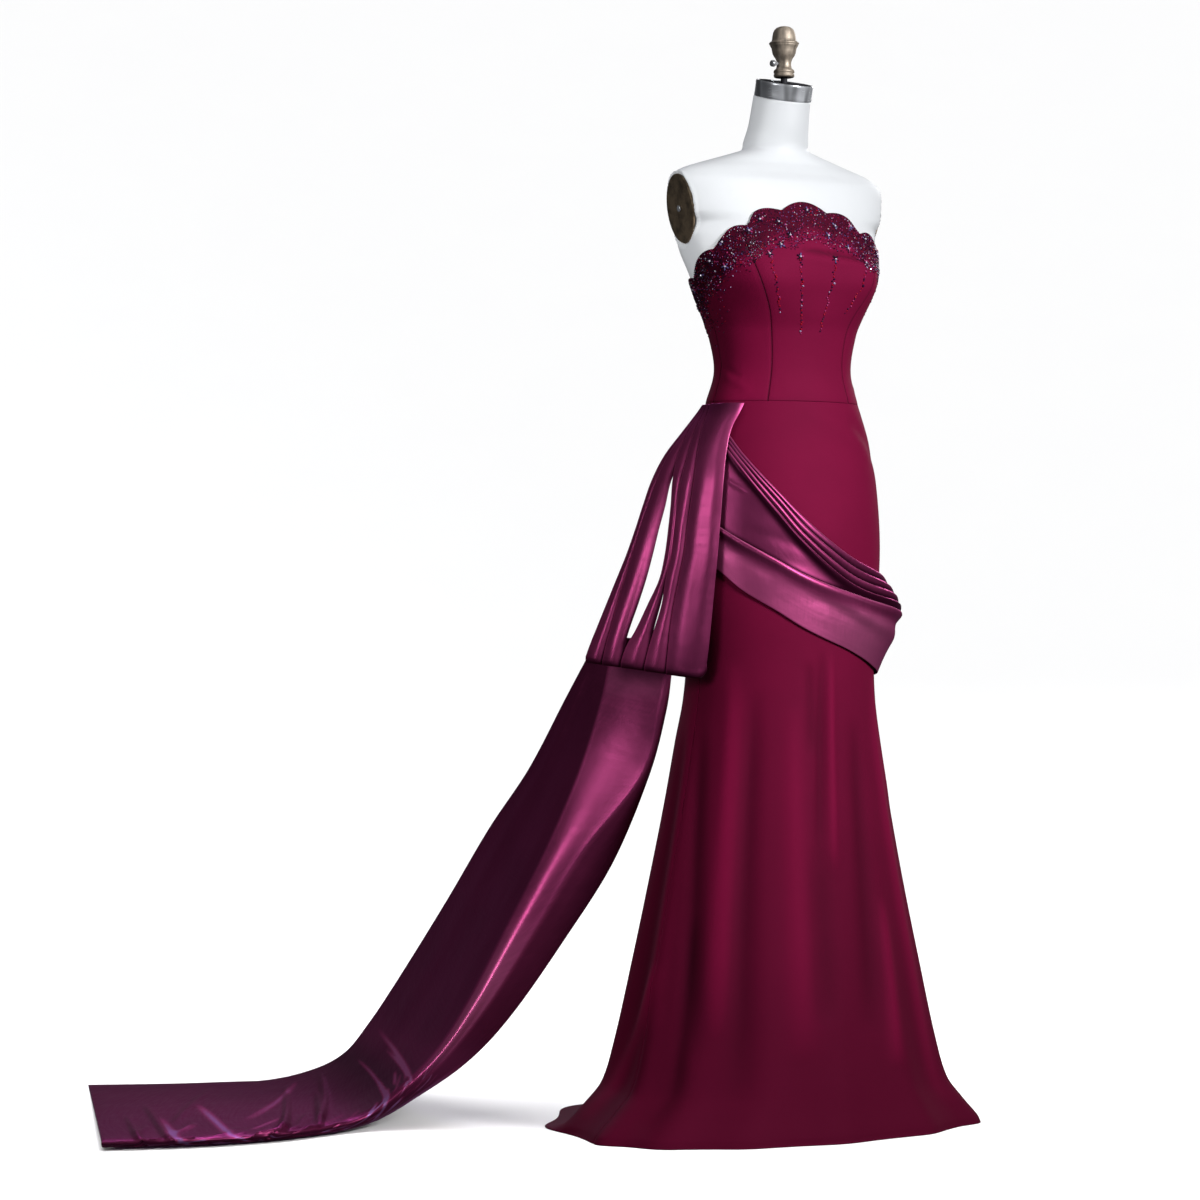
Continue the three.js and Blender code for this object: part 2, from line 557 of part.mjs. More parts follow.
const NECK_RING = { inner: 40, outer: 43, height: 24 };
const NECK_PLATE = { radius: 39.6, bore: 8, height: 19 };
const FINIAL_Y = -4;          // the finial stands upright in the middle of the tilted cap
const STEM = { radius: 5, low: 1559, high: 1575.7 };
const FINIAL_PROFILE = [
  [0, 1576], [14, 1576], [15.7, 1578], [15.7, 1586], [11.5, 1590], [10.9, 1599], [13, 1604.6],
  [17, 1611], [18.7, 1620], [22, 1624], [22.5, 1627.5], [19.5, 1630.5], [17.4, 1638],
  [16.5, 1643], [14, 1648], [8, 1652], [0, 1653],
];
const THUMBSCREW = { radius: 5, length: 11, x: -12, z: 1596 };

function addNeck() {
  const cap = new THREE.Group();
  cap.position.set(0, NECK_TOP.y, NECK_TOP.z);
  cap.rotation.x = radians(NECK_TILT);
  gown.add(cap);
  const { inner, outer, height } = NECK_RING;
  add('neck_ring', lathe([[inner, 0], [outer, 0], [outer, height], [inner, height], [inner, 0]], 28),
    steel, cap);
  const { radius, bore, height: rise } = NECK_PLATE;
  add('neck_plate', lathe([[bore, 0], [radius, 0], [radius, rise], [bore, rise], [bore, 0]], 24),
    blackPlate, cap);
  add('finial_stem', lathe([[0, STEM.low], [STEM.radius, STEM.low], [STEM.radius, STEM.high],
    [0, STEM.high]], 16), steel).position.y = FINIAL_Y;
  add('finial', lathe(FINIAL_PROFILE), bronze).position.y = FINIAL_Y;
  const screw = new THREE.CylinderGeometry(THUMBSCREW.radius, THUMBSCREW.radius, THUMBSCREW.length, 14);
  screw.rotateZ(Math.PI / 2);
  const knob = add('thumbscrew', screw, steel);
  knob.position.set(THUMBSCREW.x - THUMBSCREW.length / 2, FINIAL_Y, THUMBSCREW.z);
}

const ARM_SCREW = { radius: 5, length: 3 };

function addArmPlates() {
  for (const [side, hand] of [[-1, 'right'], [1, 'left']]) {
    const armhole = new THREE.Group();
    armhole.position.set(side * ARM_PLATE.x, ARM_PLATE.y, ARM_PLATE.z);
    armhole.rotation.y = side * Math.atan(ARM_PLATE.lean);
    gown.add(armhole);
    const disc = new THREE.CylinderGeometry(1, 1, ARM_PLATE.wall, 32);
    disc.rotateZ(Math.PI / 2);
    disc.scale(1, ARM_PLATE.depth, ARM_PLATE.height);
    const plate = add(`arm_plate_${hand}`, disc, bronze, armhole);
    plate.position.x = side * (SEAM_GAP + ARM_PLATE.wall / 2);
    const head = new THREE.CylinderGeometry(ARM_SCREW.radius, ARM_SCREW.radius, ARM_SCREW.length, 16);
    head.rotateZ(Math.PI / 2);
    const screw = add(`arm_screw_${hand}`, head, steel, armhole);
    screw.position.x = side * (2 * SEAM_GAP + ARM_PLATE.wall + ARM_SCREW.length / 2);
  }
}

function addStand() {
  const { radius, edge, height, hub } = BASE;
  add('base', lathe([[0, 0], [radius, 0], [radius, edge], [hub, height], [0, height]], 32), steel);
  const low = height + SEAM_GAP;
  const high = FORM_BOTTOM_Z - SEAM_GAP;
  add('pole', lathe([[0, low], [POLE_RADIUS, low], [POLE_RADIUS, high], [0, high]], 20), steel);
}

addBodice();
addSkirt();
addDrape();
addSash();
add('form_torso', ringSolid(FORM_COLUMNS, FORM_LEVELS, formPoint), shell);
addNeck();
addArmPlates();
addStand();

export default gown;
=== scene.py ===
"""Strapless beaded evening gown with a satin hip drape, sash and train, on a limbless dress form.

Shapes are worked out in millimetres and stored in metres. +Z is up, the wearer's front faces
-Y and the wearer's right is -X. "turn" goes round the body in degrees: 0 is the centre front,
90 the wearer's left side, 180 the centre back and -90 the wearer's right side.
"""
import math

import bmesh
import bpy
import numpy as np
from bpy.props import FloatProperty, FloatVectorProperty, IntProperty, PointerProperty
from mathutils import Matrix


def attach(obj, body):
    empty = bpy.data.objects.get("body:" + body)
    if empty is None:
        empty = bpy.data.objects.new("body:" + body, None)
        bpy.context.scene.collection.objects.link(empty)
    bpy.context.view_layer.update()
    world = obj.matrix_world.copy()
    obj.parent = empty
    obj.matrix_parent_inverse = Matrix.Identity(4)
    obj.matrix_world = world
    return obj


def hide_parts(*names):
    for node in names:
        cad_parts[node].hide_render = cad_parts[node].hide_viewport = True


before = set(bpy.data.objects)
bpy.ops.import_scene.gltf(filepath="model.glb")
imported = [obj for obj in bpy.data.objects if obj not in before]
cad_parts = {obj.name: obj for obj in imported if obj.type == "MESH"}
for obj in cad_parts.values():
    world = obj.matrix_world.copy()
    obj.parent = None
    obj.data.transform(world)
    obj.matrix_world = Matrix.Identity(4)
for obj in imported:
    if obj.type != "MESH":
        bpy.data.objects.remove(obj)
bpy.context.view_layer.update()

bl_info = {
    "name": "Beaded Evening Gown",
    "version": (1, 0, 0),
    "blender": (4, 5, 0),
    "location": "3D View > Sidebar > Gown",
    "description": "Builds a beaded gown with a satin drape and train on a dress form",
    "category": "Add Mesh",
}

MM = 0.001
SEAM_GAP = 0.3          # between two pieces that are sewn together
HALF_GAP_TURN = 0.1     # degrees that half a seam gap takes up round the body
FIT_GAP = 2.5           # between the dress form and the inside of the gown
WAIST_Z = 1085
FALL_TURN = 30.5        # the plane of the sash and train is turned this far back
SCALLOPS = 14
SCALLOP_CENTRE = -3.5   # the bodice sits a little round to the wearer's right
EDGE_SHARE = 0.7        # of a wall's thickness, over which its border is rounded
MM_PER_DEGREE = 2.3     # round the body, near enough for a crease


# ---------------------------------------------------------------- tables
def table(columns, rows):
    """A small table by column name, put in rising order of its first column."""
    values = np.array(rows, float)
    values = values[np.argsort(values[:, 0])]
    return dict(zip(columns.split(), values.T))


# Sections from the floor up: half width in X, depth before and behind the widest line, its Y.
SECTIONS = table("z half front back mid", [
    (0, 318, 180, 392, 0), (3, 317, 179, 330, 0), (12, 312, 178, 276, 0), (42, 282, 173, 258, 0),
    (72, 256, 169, 248, 0), (131, 239, 161, 240, 0), (251, 216, 147, 224, 0),
    (371, 193, 132, 207, 0), (491, 171, 120, 186, 0), (581, 156, 113, 170, 0),
    (641, 148, 110, 150, 0), (700, 146, 109, 138, 0), (790, 153, 111, 130, 0),
    (881, 157, 112, 125, 0), (971, 152, 102, 112, 0), (1031, 140, 93, 100, 0),
    (1085, 122, 85, 94, 0), (1134, 109, 79, 81, 0), (1190, 118, 84, 90, 0),
    (1217, 129, 91, 94, 0), (1241, 141, 96, 97, 0), (1265, 150, 101, 99, 0),
    (1295, 155, 103, 103, 1), (1330, 154, 97, 108, 4), (1350, 158, 92, 109, 8),
    (1366, 173, 87, 108, 11), (1391, 182, 81, 107, 14), (1415, 182, 72, 103, 14),
    (1428, 174, 65, 97, 18), (1436, 159, 60, 90, 19), (1444, 134, 55, 82, 20),
    (1454, 100, 51, 72, 20), (1462, 72, 50, 62, 21), (1468, 54, 49, 55, 20),
    (1478, 52, 48, 53, 18), (1500, 48, 46, 49, 11), (1560, 43.5, 43.5, 43.5, -4)])

# Soft vertical folds of the skirt: turn, width in degrees, rise at the hem.
FLUTES = [(-152, 12, 24), (-117, 9, 22), (-86, 8, 14), (-58, 8, 10), (-31, 8, 7), (-3, 8, 8),
          (28, 8, 9), (60, 8, 19), (92, 9, 14), (124, 11, 24), (158, 12, 20)]
FLUTE_TOP_Z = 660
FLUTE_GROWTH = 2.2

# Soft mounds at both sides, the bust and the fullness below the armhole: turn, height, rise,
# width in degrees and width in height.
MOUNDS = [(36, 1262, 14, 20, 42), (108, 1330, 17, 33, 40)]

TOP_EDGE = table("turn z", [
    (-180, 1246), (-145, 1247), (-119, 1252), (-94, 1268), (-68, 1308), (-42, 1343), (-16, 1367.5),
    (-3.5, 1371), (9, 1367), (35, 1340), (61, 1322), (87, 1284), (112, 1260), (138, 1249),
    (180, 1246)])
SCALLOP_RISE = 11

SEAMS = table("share princess side back", [
    (0, 36, 90, 138), (0.45, 34, 90, 136), (0.7, 39, 90, 133), (1, 48.46, 90, 131.54)])

# Heights of the drape's lines round the body, and how far it stands off the hip.
DRAPE = table("turn top fold2 fold3 fold4 band hem proud", [
    (-90, 1062, 1054, 1047, 1040, 930, 866, 0), (-66, 1043, 1036, 1029, 1021, 900, 836, 0),
    (-50, 1008, 1001, 994, 985, 877, 806, 0), (-30, 958, 948, 937, 925, 849, 776, 0),
    (-15, 917, 903, 890, 878, 828, 752, 1), (0, 883, 868, 854, 841, 812, 734, 2),
    (15, 858, 842, 828, 815, 800, 720, 4), (30, 843, 827, 813, 800, 789, 706, 11),
    (50, 832, 816, 803, 790, 778, 690, 23), (75, 824, 808, 795, 782, 768, 680, 31),
    (110, 822, 806, 792, 779, 761, 677, 22), (150, 842, 826, 811, 798, 772, 692, 9),
    (190, 893, 879, 866, 854, 810, 732, 6), (230, 977, 966, 955, 945, 870, 798, 3),
    (270, 1062, 1054, 1047, 1040, 930, 866, 0)])
DRAPE_BULGE = table("share push", [
    (0, 0), (0.2, 0.72), (0.36, 1), (0.48, 0.86), (0.6, 0.88), (0.8, 0.45), (1, 0.05)])

# The sash: distance of each pleat edge out to the wearer's right, and how far the inner and
# outer edges lie behind (+) or before (-) the form's axis.
SASH = table("z p1 p2 p2e p3 p3e p4 p5 p5e inner outer bow", [
    (1082, 121, 119, 117.5, 117.5, 116, 116, 110, 61, -99, -42, 16),
    (1069, 130, 128, 124, 124, 119.6, 119.6, 114, 67.5, -105, -42, 15),
    (1043, 150, 146.5, 141, 141, 132.6, 132.6, 123, 81, -111, -46, 13),
    (1006, 178, 173, 158, 158, 144, 144, 130.5, 89, -119, -52, 11),
    (969, 197, 190, 169.5, 166.5, 154.5, 154.5, 135.5, 93, -127, -60, 10),
    (932, 210, 203.5, 177, 169.5, 160.5, 160.5, 141, 96, -130, -64, 9),
    (895, 222, 215.5, 187, 173.5, 165, 165, 146.5, 99, -132, -67, 9),
    (858, 235, 227, 196, 178.5, 169.5, 169.5, 151, 102, -134, -70, 8),
    (821, 250, 238, 206, 187, 179, 177.5, 158.5, 105.5, -133, -72, 8),
    (784, 265, 249, 218, 204, 186.5, 183.5, 166, 109, -131, -73, 8),
    (747, 280, 259, 231, 221.5, 197, 194.5, 171.5, 112.5, -129, -75, 8),
    (722, 290, 266, 238, 235.5, 202.5, 202, 174, 115, -127, -75, 8),
    (690, 301, 273, 246, 246, 210, 210, 177, 119, -122, -74, 8)])
SASH_TOP_Z, SASH_LOW_Z, SASH_LOW_SLOPE, SASH_BACK_TOP = 1082, 682, 0.139, 762
SASH_LOW_OUT = 119      # the sash is lowest at its near edge, and rises by the slope from there
SASH_TURN, SASH_BACK_LEAN, SASH_LAP, SASH_TUCK, SASH_CROWN = 7, 10, 4, 3.2, 0.12
SASH_CORNER = 16        # the rounded lower corner of the front pleat

# The train: far edge, two ridges and near edge, each as out, back and height.
TRAIN = np.array([
    [(276, -6, 736), (250, -20, 736), (180, -58, 735), (162, -66, 735)],
    [(293, 41, 706), (259, 18, 701), (178, -46, 696), (166, -52, 693)],
    [(328, 90, 639), (273, 20, 634), (187, -36, 628), (176, -25, 624)],
    [(383, 150, 533), (305, 10, 533), (212, -22, 530), (202, 0, 526)],
    [(447, 215, 436), (354, 0, 417), (300, -18, 416), (255, 22, 397)],
    [(516, 290, 318), (415, -5, 297), (373, -17, 298), (329, 32, 279)],
    [(594, 380, 191), (469, -10, 193), (438, -17, 194), (406, 36, 169)],
    [(649, 450, 107), (517, -12, 118), (497, -16, 118), (469, 28, 101)],
    [(695, 515, 50), (571, -17, 66), (554, -18, 60), (542, 16, 50)],
    [(755, 545, 18), (640, -40, 22), (632, -44, 12), (626, -18, 8)],
    [(840, 555, 0), (748, -140, 15), (744, -150, 6), (735, -128, 4)],
    [(975, 522, 0), (868, -200, 15), (866, -208, 6), (858, -186, 4)],
    [(1112, 505, 0), (992, -226, 15), (989, -235, 6), (980, -212, 4)]], float)
TRAIN_ROWS = np.linspace(0, 1, len(TRAIN))
TRAIN_LINES = np.array([0, 0.5, 0.75, 1])

# The dress form.
FORM_BOTTOM_Z, FORM_TOP_Z = 800, 1538
NECK_TOP_Z, NECK_TILT = 1545, 14
ARM_X, ARM_Y, ARM_Z, ARM_LEAN, ARM_DEPTH, ARM_HEIGHT, ARM_WALL = 164, 22, 1373, 0.16, 36, 52, 4
ARM_SOFT = 2.6          # how softly the shoulder turns into the armhole's plane
ARM_CUT_Z = 1262        # the armhole's plane cuts nothing below this height
FINIAL_Y, THUMBSCREW_Z, THUMBSCREW_OUT = -4, 1596, 12


# ---------------------------------------------------------------- reading the tables
def neighbours(count):
    """The stations before and after each station, held at the two ends."""
    order = np.arange(count)
    return np.maximum(order - 1, 0), np.minimum(order + 1, count - 1)


def cubic(first, second, first_slope, second_slope, span, t):
    """The cubic between two values with given slopes, at share t of the span."""
    return (first * (2 * t**3 - 3 * t**2 + 1) + first_slope * span * (t**3 - 2 * t**2 + t)
            + second * (3 * t**2 - 2 * t**3) + second_slope * span * (t**3 - t**2))


def smooth(stations, values, at):
    """Cubic through uneven stations, with each slope taken between its two neighbours."""
    stations = np.asarray(stations, float)
    values = np.asarray(values, float)
    before, after = neighbours(len(stations))
    slope = (values[after] - values[before]) / (stations[after] - stations[before])
    held = np.clip(at, stations[0], stations[-1])
    i = np.searchsorted(stations[1:-1], held, side="left")
    span = stations[i + 1] - stations[i]
    return cubic(values[i], values[i + 1], slope[i], slope[i + 1], span,
                 (held - stations[i]) / span)


def read(rows, key, column, at):
    """One named column of a table at a place in its key column."""
    return smooth(rows[key], rows[column], at)


def bump(distance, width):
    """exp(-(distance / width)^2): 1 at the middle, falling to 0 over about two widths."""
    return np.exp(-(distance / width) ** 2)


def step(low, high, at):
    """A smooth rise from 0 at low to 1 at high."""
    t = np.clip((at - low) / (high - low), 0, 1)
    return t * t * (3 - 2 * t)


def turn_between(a, b):
    """The shorter way round from one turn to another, in degrees."""
    return (a - b + 180) % 360 - 180


def lerp(a, b, t):
    """From a at t = 0 straight to b at t = 1."""
    return a + (b - a) * t


def crease(x, y, run, rise, width, height):
    """One soft crease from (0, 0) to (run, rise): height times exp(-(distance from its line /
    width)^2) times (1 - s^4), where s goes from -1 to 1 along it."""
    length = math.hypot(run, rise)
    along = (x * run + y * rise) / length
    share = np.clip(2 * along / length - 1, -1, 1)
    return height * bump((x * rise - y * run) / length, width) * (1 - share**4)


def creases(turn, z, rows):
    """Sum of the soft creases that run from one turn and height to another."""
    return sum(crease(turn_between(turn, from_turn) * MM_PER_DEGREE, z - from_z,
                      turn_between(to_turn, from_turn) * MM_PER_DEGREE, to_z - from_z,
                      width, height)
               for from_turn, from_z, to_turn, to_z, width, height in rows)


def ripples(u, v, rows, ease):
    """Sum of lengthwise ripples at u = place + drift v: height times exp(-(distance across /
    width)^2), eased in after their start and out before their end."""
    return sum(height * bump(u - place - drift * v, width) * step(start, start + ease, v)
               * step(end, end - ease, v) for place, drift, width, height, start, end in rows)


# ---------------------------------------------------------------- the body and skirt surface
# Creases of the crepe: from turn, from height, to turn, to height, width, rise.
BODICE_CREASES = [
    (-22, 1318, 34, 1306, 4.5, 2.2), (-14, 1308, 40, 1296, 4, -2.4), (-20, 1298, 30, 1288, 5, 1.2),
    (-64, 1292, -40, 1276, 6, 1), (60, 1282, 88, 1262, 6, -1.2), (-100, 1150, -62, 1118, 7, -1),
    (-84, 1128, -50, 1100, 6, 0.9), (66, 1150, 96, 1122, 7, -1.1), (58, 1112, 86, 1100, 6, 0.8),
    (150, 1180, 205, 1168, 7, -1.2), (140, 1150, 178, 1132, 7, 1), (184, 1122, 216, 1104, 6, -1),
    (-130, 1206, -104, 1190, 7, 0.9), (112, 1216, 134, 1196, 7, -0.9)]
SKIRT_CREASES = [
    (-8, 1070, 52, 1010, 16, 1.2), (30, 1062, 80, 980, 14, -1.2), (150, 1072, 120, 980, 14, -1.4),
    (200, 1070, 236, 990, 14, 1.3), (172, 1060, 176, 900, 12, 1.6), (-60, 700, -50, 150, 16, 2.6),
    (-44, 660, -40, 60, 13, -3), (-20, 640, -16, 120, 14, 2), (-10, 700, -8, 560, 8, -1.8),
    (-1, 716, -6, 400, 7, -2.4), (5.5, 714, 1, 390, 6, 2.4), (23, 620, 14, 150, 13, -2.8),
    (48, 690, 58, 480, 14, 1.6), (28, 350, 24, 100, 9, 2.4), (-82, 600, -60, 120, 14, -3),
    (-94, 660, -88, 150, 16, 2.2), (-5, 430, -6, 170, 12, -2),
    (44, 660, 50, 30, 12, 2.4), (76, 600, 78, 40, 14, -3.2), (108, 620, 112, 60, 16, 2.8),
    (140, 640, 142, 50, 16, -3), (176, 600, 175, 40, 18, 2.6), (-136, 620, -134, 40, 16, -3),
    (-100, 600, -102, 60, 14, -2.4), (-70, 330, -66, 20, 10, -2.2), (-90, 260, -110, 20, 12, 3)]


def body(turn, z, outward=0.0):
    """The gown's inner face: (half sin, mid - depth cos, z), moved along the section's normal
    by outward, the bust mounds and the skirt's folds, which grow as (1 - z / top)^2.2."""
    turn, z, outward = np.broadcast_arrays(turn, z, outward)
    angle = np.radians(turn)
    sine, cosine = np.sin(angle), np.cos(angle)
    half = read(SECTIONS, "z", "half", z)
    front = read(SECTIONS, "z", "front", z)
    depth = np.where(cosine > 0, front, read(SECTIONS, "z", "back", z))
    push = outward + 0.0
    for side in (-1, 1):
        for at, at_z, rise, width, height in MOUNDS:
            push = push + (rise * bump(turn_between(turn, side * at), width)
                           * bump(z - at_z, height))
    growth = np.maximum(1 - z / FLUTE_TOP_Z, 0) ** FLUTE_GROWTH
    for at, width, rise in FLUTES:
        push = push + rise * growth * bump(turn_between(turn, at), width)
    size = np.hypot(sine / half, cosine / depth)
    x = half * sine + push * sine / half / size
    y = read(SECTIONS, "z", "mid", z) - depth * cosine - push * cosine / depth / size
    return np.stack([x, y, z + 0.0], axis=-1)


def top_edge_z(turn):
    """Valley height plus rise times |cos(scallops * (turn - centre) / 2)|."""
    valley = read(TOP_EDGE, "turn", "z", turn_between(turn, 0))
    return valley + SCALLOP_RISE * np.abs(np.cos(np.radians(turn - SCALLOP_CENTRE) * SCALLOPS / 2))


def fall_point(out, back, z):
    """A point out to the wearer's right and back, in the turned plane of the fall."""
    sine, cosine = math.sin(math.radians(FALL_TURN)), math.cos(math.radians(FALL_TURN))
    return np.stack([back * sine - out * cosine, out * sine + back * cosine, z + 0 * out], axis=-1)


# ---------------------------------------------------------------- meshes
def normals_of(grid):
    """Unit normals of a grid of points: down crossed with along."""
    along = np.gradient(grid, axis=0)
    down = np.gradient(grid, axis=1)
    normal = np.cross(down, along)
    return normal / np.maximum(np.linalg.norm(normal, axis=-1, keepdims=True), 1e-9)


def arc_lengths(grid, axis):
    """Distance along the grid lines from their start, in millimetres."""
    legs = np.linalg.norm(np.diff(grid, axis=axis), axis=-1)
    start = np.zeros_like(np.take(legs, [0], axis=axis))
    return np.concatenate([start, np.cumsum(legs, axis=axis)], axis=axis)


def edged(count, length, wall):
    """Even stations from 0 to 1 with a few more close to both ends, for the rounded edge."""
    near = np.array([0, 0.08, 0.3, 0.65, 1]) * (EDGE_SHARE * wall) / length
    inside = np.linspace(near[-1], 1 - near[-1], count + 1)
    return np.concatenate([near[:-1], inside, 1 - near[-2::-1]])


def grid_quads(index, closed_round=False, closed_up=False):
    """The four-sided faces of a grid of point numbers, closed on itself where told."""
    if closed_round:
        index = np.concatenate([index, index[:1]])
    if closed_up:
        index = np.concatenate([index, index[:, :1]], axis=1)
    return np.stack([index[:-1, :-1], index[1:, :-1], index[1:, 1:], index[:-1, 1:]],
                    -1).reshape(-1, 4)


def build_mesh(name, points, faces, uv=None, smooth_shading=True, lustre=None, caps=()):
    """A mesh from points in millimetres and faces, with three-sided caps if any. uv gives a
    pair for each point, and lustre a number for each point that the cloth's colour
    follows: from 1, a painted highlight on a folded edge, to -1, painted shade deep inside a fold."""
    mesh = bpy.data.meshes.new(name)
    mesh.from_pydata((points * MM).tolist(), [], faces.tolist() + list(caps))
    if uv is not None:
        corner = np.empty(len(mesh.loops), int)
        mesh.loops.foreach_get("vertex_index", corner)
        layer = mesh.uv_layers.new(name="cloth")
        layer.uv.foreach_set("vector", np.asarray(uv, np.float32)[corner].ravel())
    if lustre is not None:
        layer = mesh.attributes.new("lustre", "FLOAT", "POINT")
        layer.data.foreach_set("value", np.asarray(lustre, np.float32))
    mesh.polygons.foreach_set("use_smooth", [smooth_shading] * len(mesh.polygons))
    mesh.validate()
    mesh.update()
    piece = bpy.data.objects.new(name, mesh)
    bpy.context.scene.collection.objects.link(piece)
    return piece


def cloth_wall(node, cloth, inner, along, down, wall, lustre):
    """A closed wall of cloth that stands for a node. inner(u, v) is its inner face, u from the
    wearer's right to the left and v down. Both faces lie half the wall from the middle, and
    that half falls as sqrt(1 - (1 - distance / edge)^2) at the border, which rounds the edge.
    lustre, the painted highlights and shade of the cloth, is worked out from u, v and the
    distances to the right, left, upper and lower borders."""
    grid = inner(along[:, None], down[None, :])
    normal = normals_of(grid)
    middle = grid + normal * wall / 2
    across, length = arc_lengths(middle, 0), arc_lengths(middle, 1)
    borders = (across, across[-1:] - across, length, length[:, -1:] - length)
    near = 1 - np.clip(np.minimum.reduce(borders) / (EDGE_SHARE * wall), 0, 1)
    half = (wall / 2 * np.sqrt(1 - near**2))[..., None]
    inside = np.zeros(grid.shape[:2], bool)
    inside[1:-1, 1:-1] = True
    outer_at = np.arange(inside.size).reshape(inside.shape)
    inner_at = outer_at.copy()
    inner_at[inside] = inside.size + np.arange(inside.sum())
    # Painted highlights and painted shade for each point of the wall.
    painted_light_values = np.broadcast_to(lustre(along[:, None], down[None, :], *borders), inside.shape)
    uv = np.stack([across, length], -1) * MM
    points = np.concatenate([(middle + normal * half).reshape(-1, 3),
                             (middle - normal * half)[inside]])
    points[:, 2] = np.maximum(points[:, 2], 0)
    faces = np.concatenate([grid_quads(outer_at)[:, [0, 3, 2, 1]], grid_quads(inner_at)])
    piece = build_mesh(node + "_cloth", points, faces,
                       np.concatenate([uv.reshape(-1, 2), uv[inside]]),
                       lustre=np.concatenate([painted_light_values.ravel(), painted_light_values[inside]]))
    return hand_over(piece, cloth, cloth, node)


def carried_round(profile, count):
    """A profile of (radius, height) carried round the upright axis, and its faces. A profile
    whose ends are the same closes on itself."""
    profile = np.array(profile, float)
    closed = np.allclose(profile[0], profile[-1])
    if closed:
        profile = profile[:-1]
    angle = np.linspace(0, 2 * np.pi, count, endpoint=False)[:, None]
    ring = np.stack([profile[:, 0] * np.sin(angle), -profile[:, 0] * np.cos(angle),
                     profile[:, 1] + 0 * angle], -1)
    index = np.arange(count * len(profile)).reshape(count, -1)
    return ring.reshape(-1, 3), grid_quads(index, closed_round=True, closed_up=closed)


def turned(name, profile, count, place=(0, 0, 0), tilt=0.0, rounding=0.0):
    """A solid of a profile that closes on itself or starts and ends on the axis: carried
    round, tilted about X, moved to place and, where told, given a small bevel."""
    points, faces = carried_round(profile, count)
    lean = math.radians(tilt)
    turned_back = np.array([[1, 0, 0], [0, math.cos(lean), -math.sin(lean)],
                            [0, math.sin(lean), math.cos(lean)]])
    piece = build_mesh(name, points @ turned_back.T + np.array(place, float), faces)
    weld(piece)
    if rounding:
        bevel = piece.modifiers.new("rounded", "BEVEL")
        bevel.width = rounding * MM
        bevel.segments = 3
        bevel.limit_method = "ANGLE"
        bevel.angle_limit = math.radians(35)
        bevel.harden_normals = False
    return piece


def weld(piece):
    """Merges doubled points and turns all faces outwards."""
    work = bmesh.new()
    work.from_mesh(piece.data)
    bmesh.ops.remove_doubles(work, verts=work.verts, dist=1e-6)
    bmesh.ops.dissolve_degenerate(work, edges=work.edges, dist=1e-7)
    bmesh.ops.recalc_face_normals(work, faces=work.faces)
    work.to_mesh(piece.data)
    work.free()


def move_points(piece, change):
    """Puts each point, in millimetres, where change sends it, and welds the piece again."""
    points = np.empty(len(piece.data.vertices) * 3)
    piece.data.vertices.foreach_get("co", points)
    placed = change(points.reshape(-1, 3) / MM)
    piece.data.vertices.foreach_set("co", (placed * MM).ravel())
    piece.data.update()
    weld(piece)


def scatter(name, unit, faces, places, frames, sizes, tints, smooth_shading=False):
    """Copies of one small solid: place + frame times (size times unit), with a tint each."""
    points = places[:, None, :] + np.einsum("nij,nkj->nki", frames, unit[None] * sizes[:, None, :])
    index = faces[None] + (np.arange(len(places)) * len(unit))[:, None, None]
    piece = build_mesh(name, points.reshape(-1, 3), index.reshape(-1, faces.shape[1]),
                       smooth_shading=smooth_shading)
    layer = piece.data.color_attributes.new(name="tint", type="FLOAT_COLOR", domain="POINT")
    colours = np.concatenate([tints, np.ones((len(tints), 1))], axis=1)
    layer.data.foreach_set("color",
                           np.repeat(colours, len(unit), axis=0).astype(np.float32).ravel())
    return piece


def faceted_ball(columns=6, rings=3):
    """A small faceted ball of unit radius as points and triangles."""
    polar = np.linspace(0, np.pi, rings + 2)[1:-1]
    angle = np.linspace(0, 2 * np.pi, columns, endpoint=False)
    body_points = [(math.sin(p) * math.cos(a), math.sin(p) * math.sin(a), math.cos(p))
                   for p in polar for a in angle]
    unit = np.array([(0, 0, 1)] + body_points + [(0, 0, -1)], float)
    faces = []
    for c in range(columns):
        d = (c + 1) % columns
        faces.append((0, 1 + c, 1 + d))
        for r in range(rings - 1):
            low = 1 + r * columns
            high = low + columns
            faces += [(low + c, high + c, high + d), (low + c, high + d, low + d)]
        last = 1 + (rings - 1) * columns
        faces.append((len(unit) - 1, last + d, last + c))
    return unit, np.array(faces)


# ---------------------------------------------------------------- materials
class Wire:
    """An output socket that + - * add Math nodes to."""

    def __init__(self, finish, socket):
        self.finish = finish
        self.socket = socket

    def math(self, operation, *values):
        """A Math node on these values."""
        made = self.finish.node("ShaderNodeMath", {"operation": operation}, dict(enumerate(values)))
        return Wire(self.finish, made.outputs[0])

    def __add__(self, other):
        return self.math("ADD", self, other)

    def __radd__(self, other):
        return self.math("ADD", other, self)

    def __sub__(self, other):
        return self.math("SUBTRACT", self, other)

    def __rsub__(self, other):
        return self.math("SUBTRACT", other, self)

    def __mul__(self, other):
        return self.math("MULTIPLY", self, other)

    def __rmul__(self, other):
        return self.math("MULTIPLY", other, self)


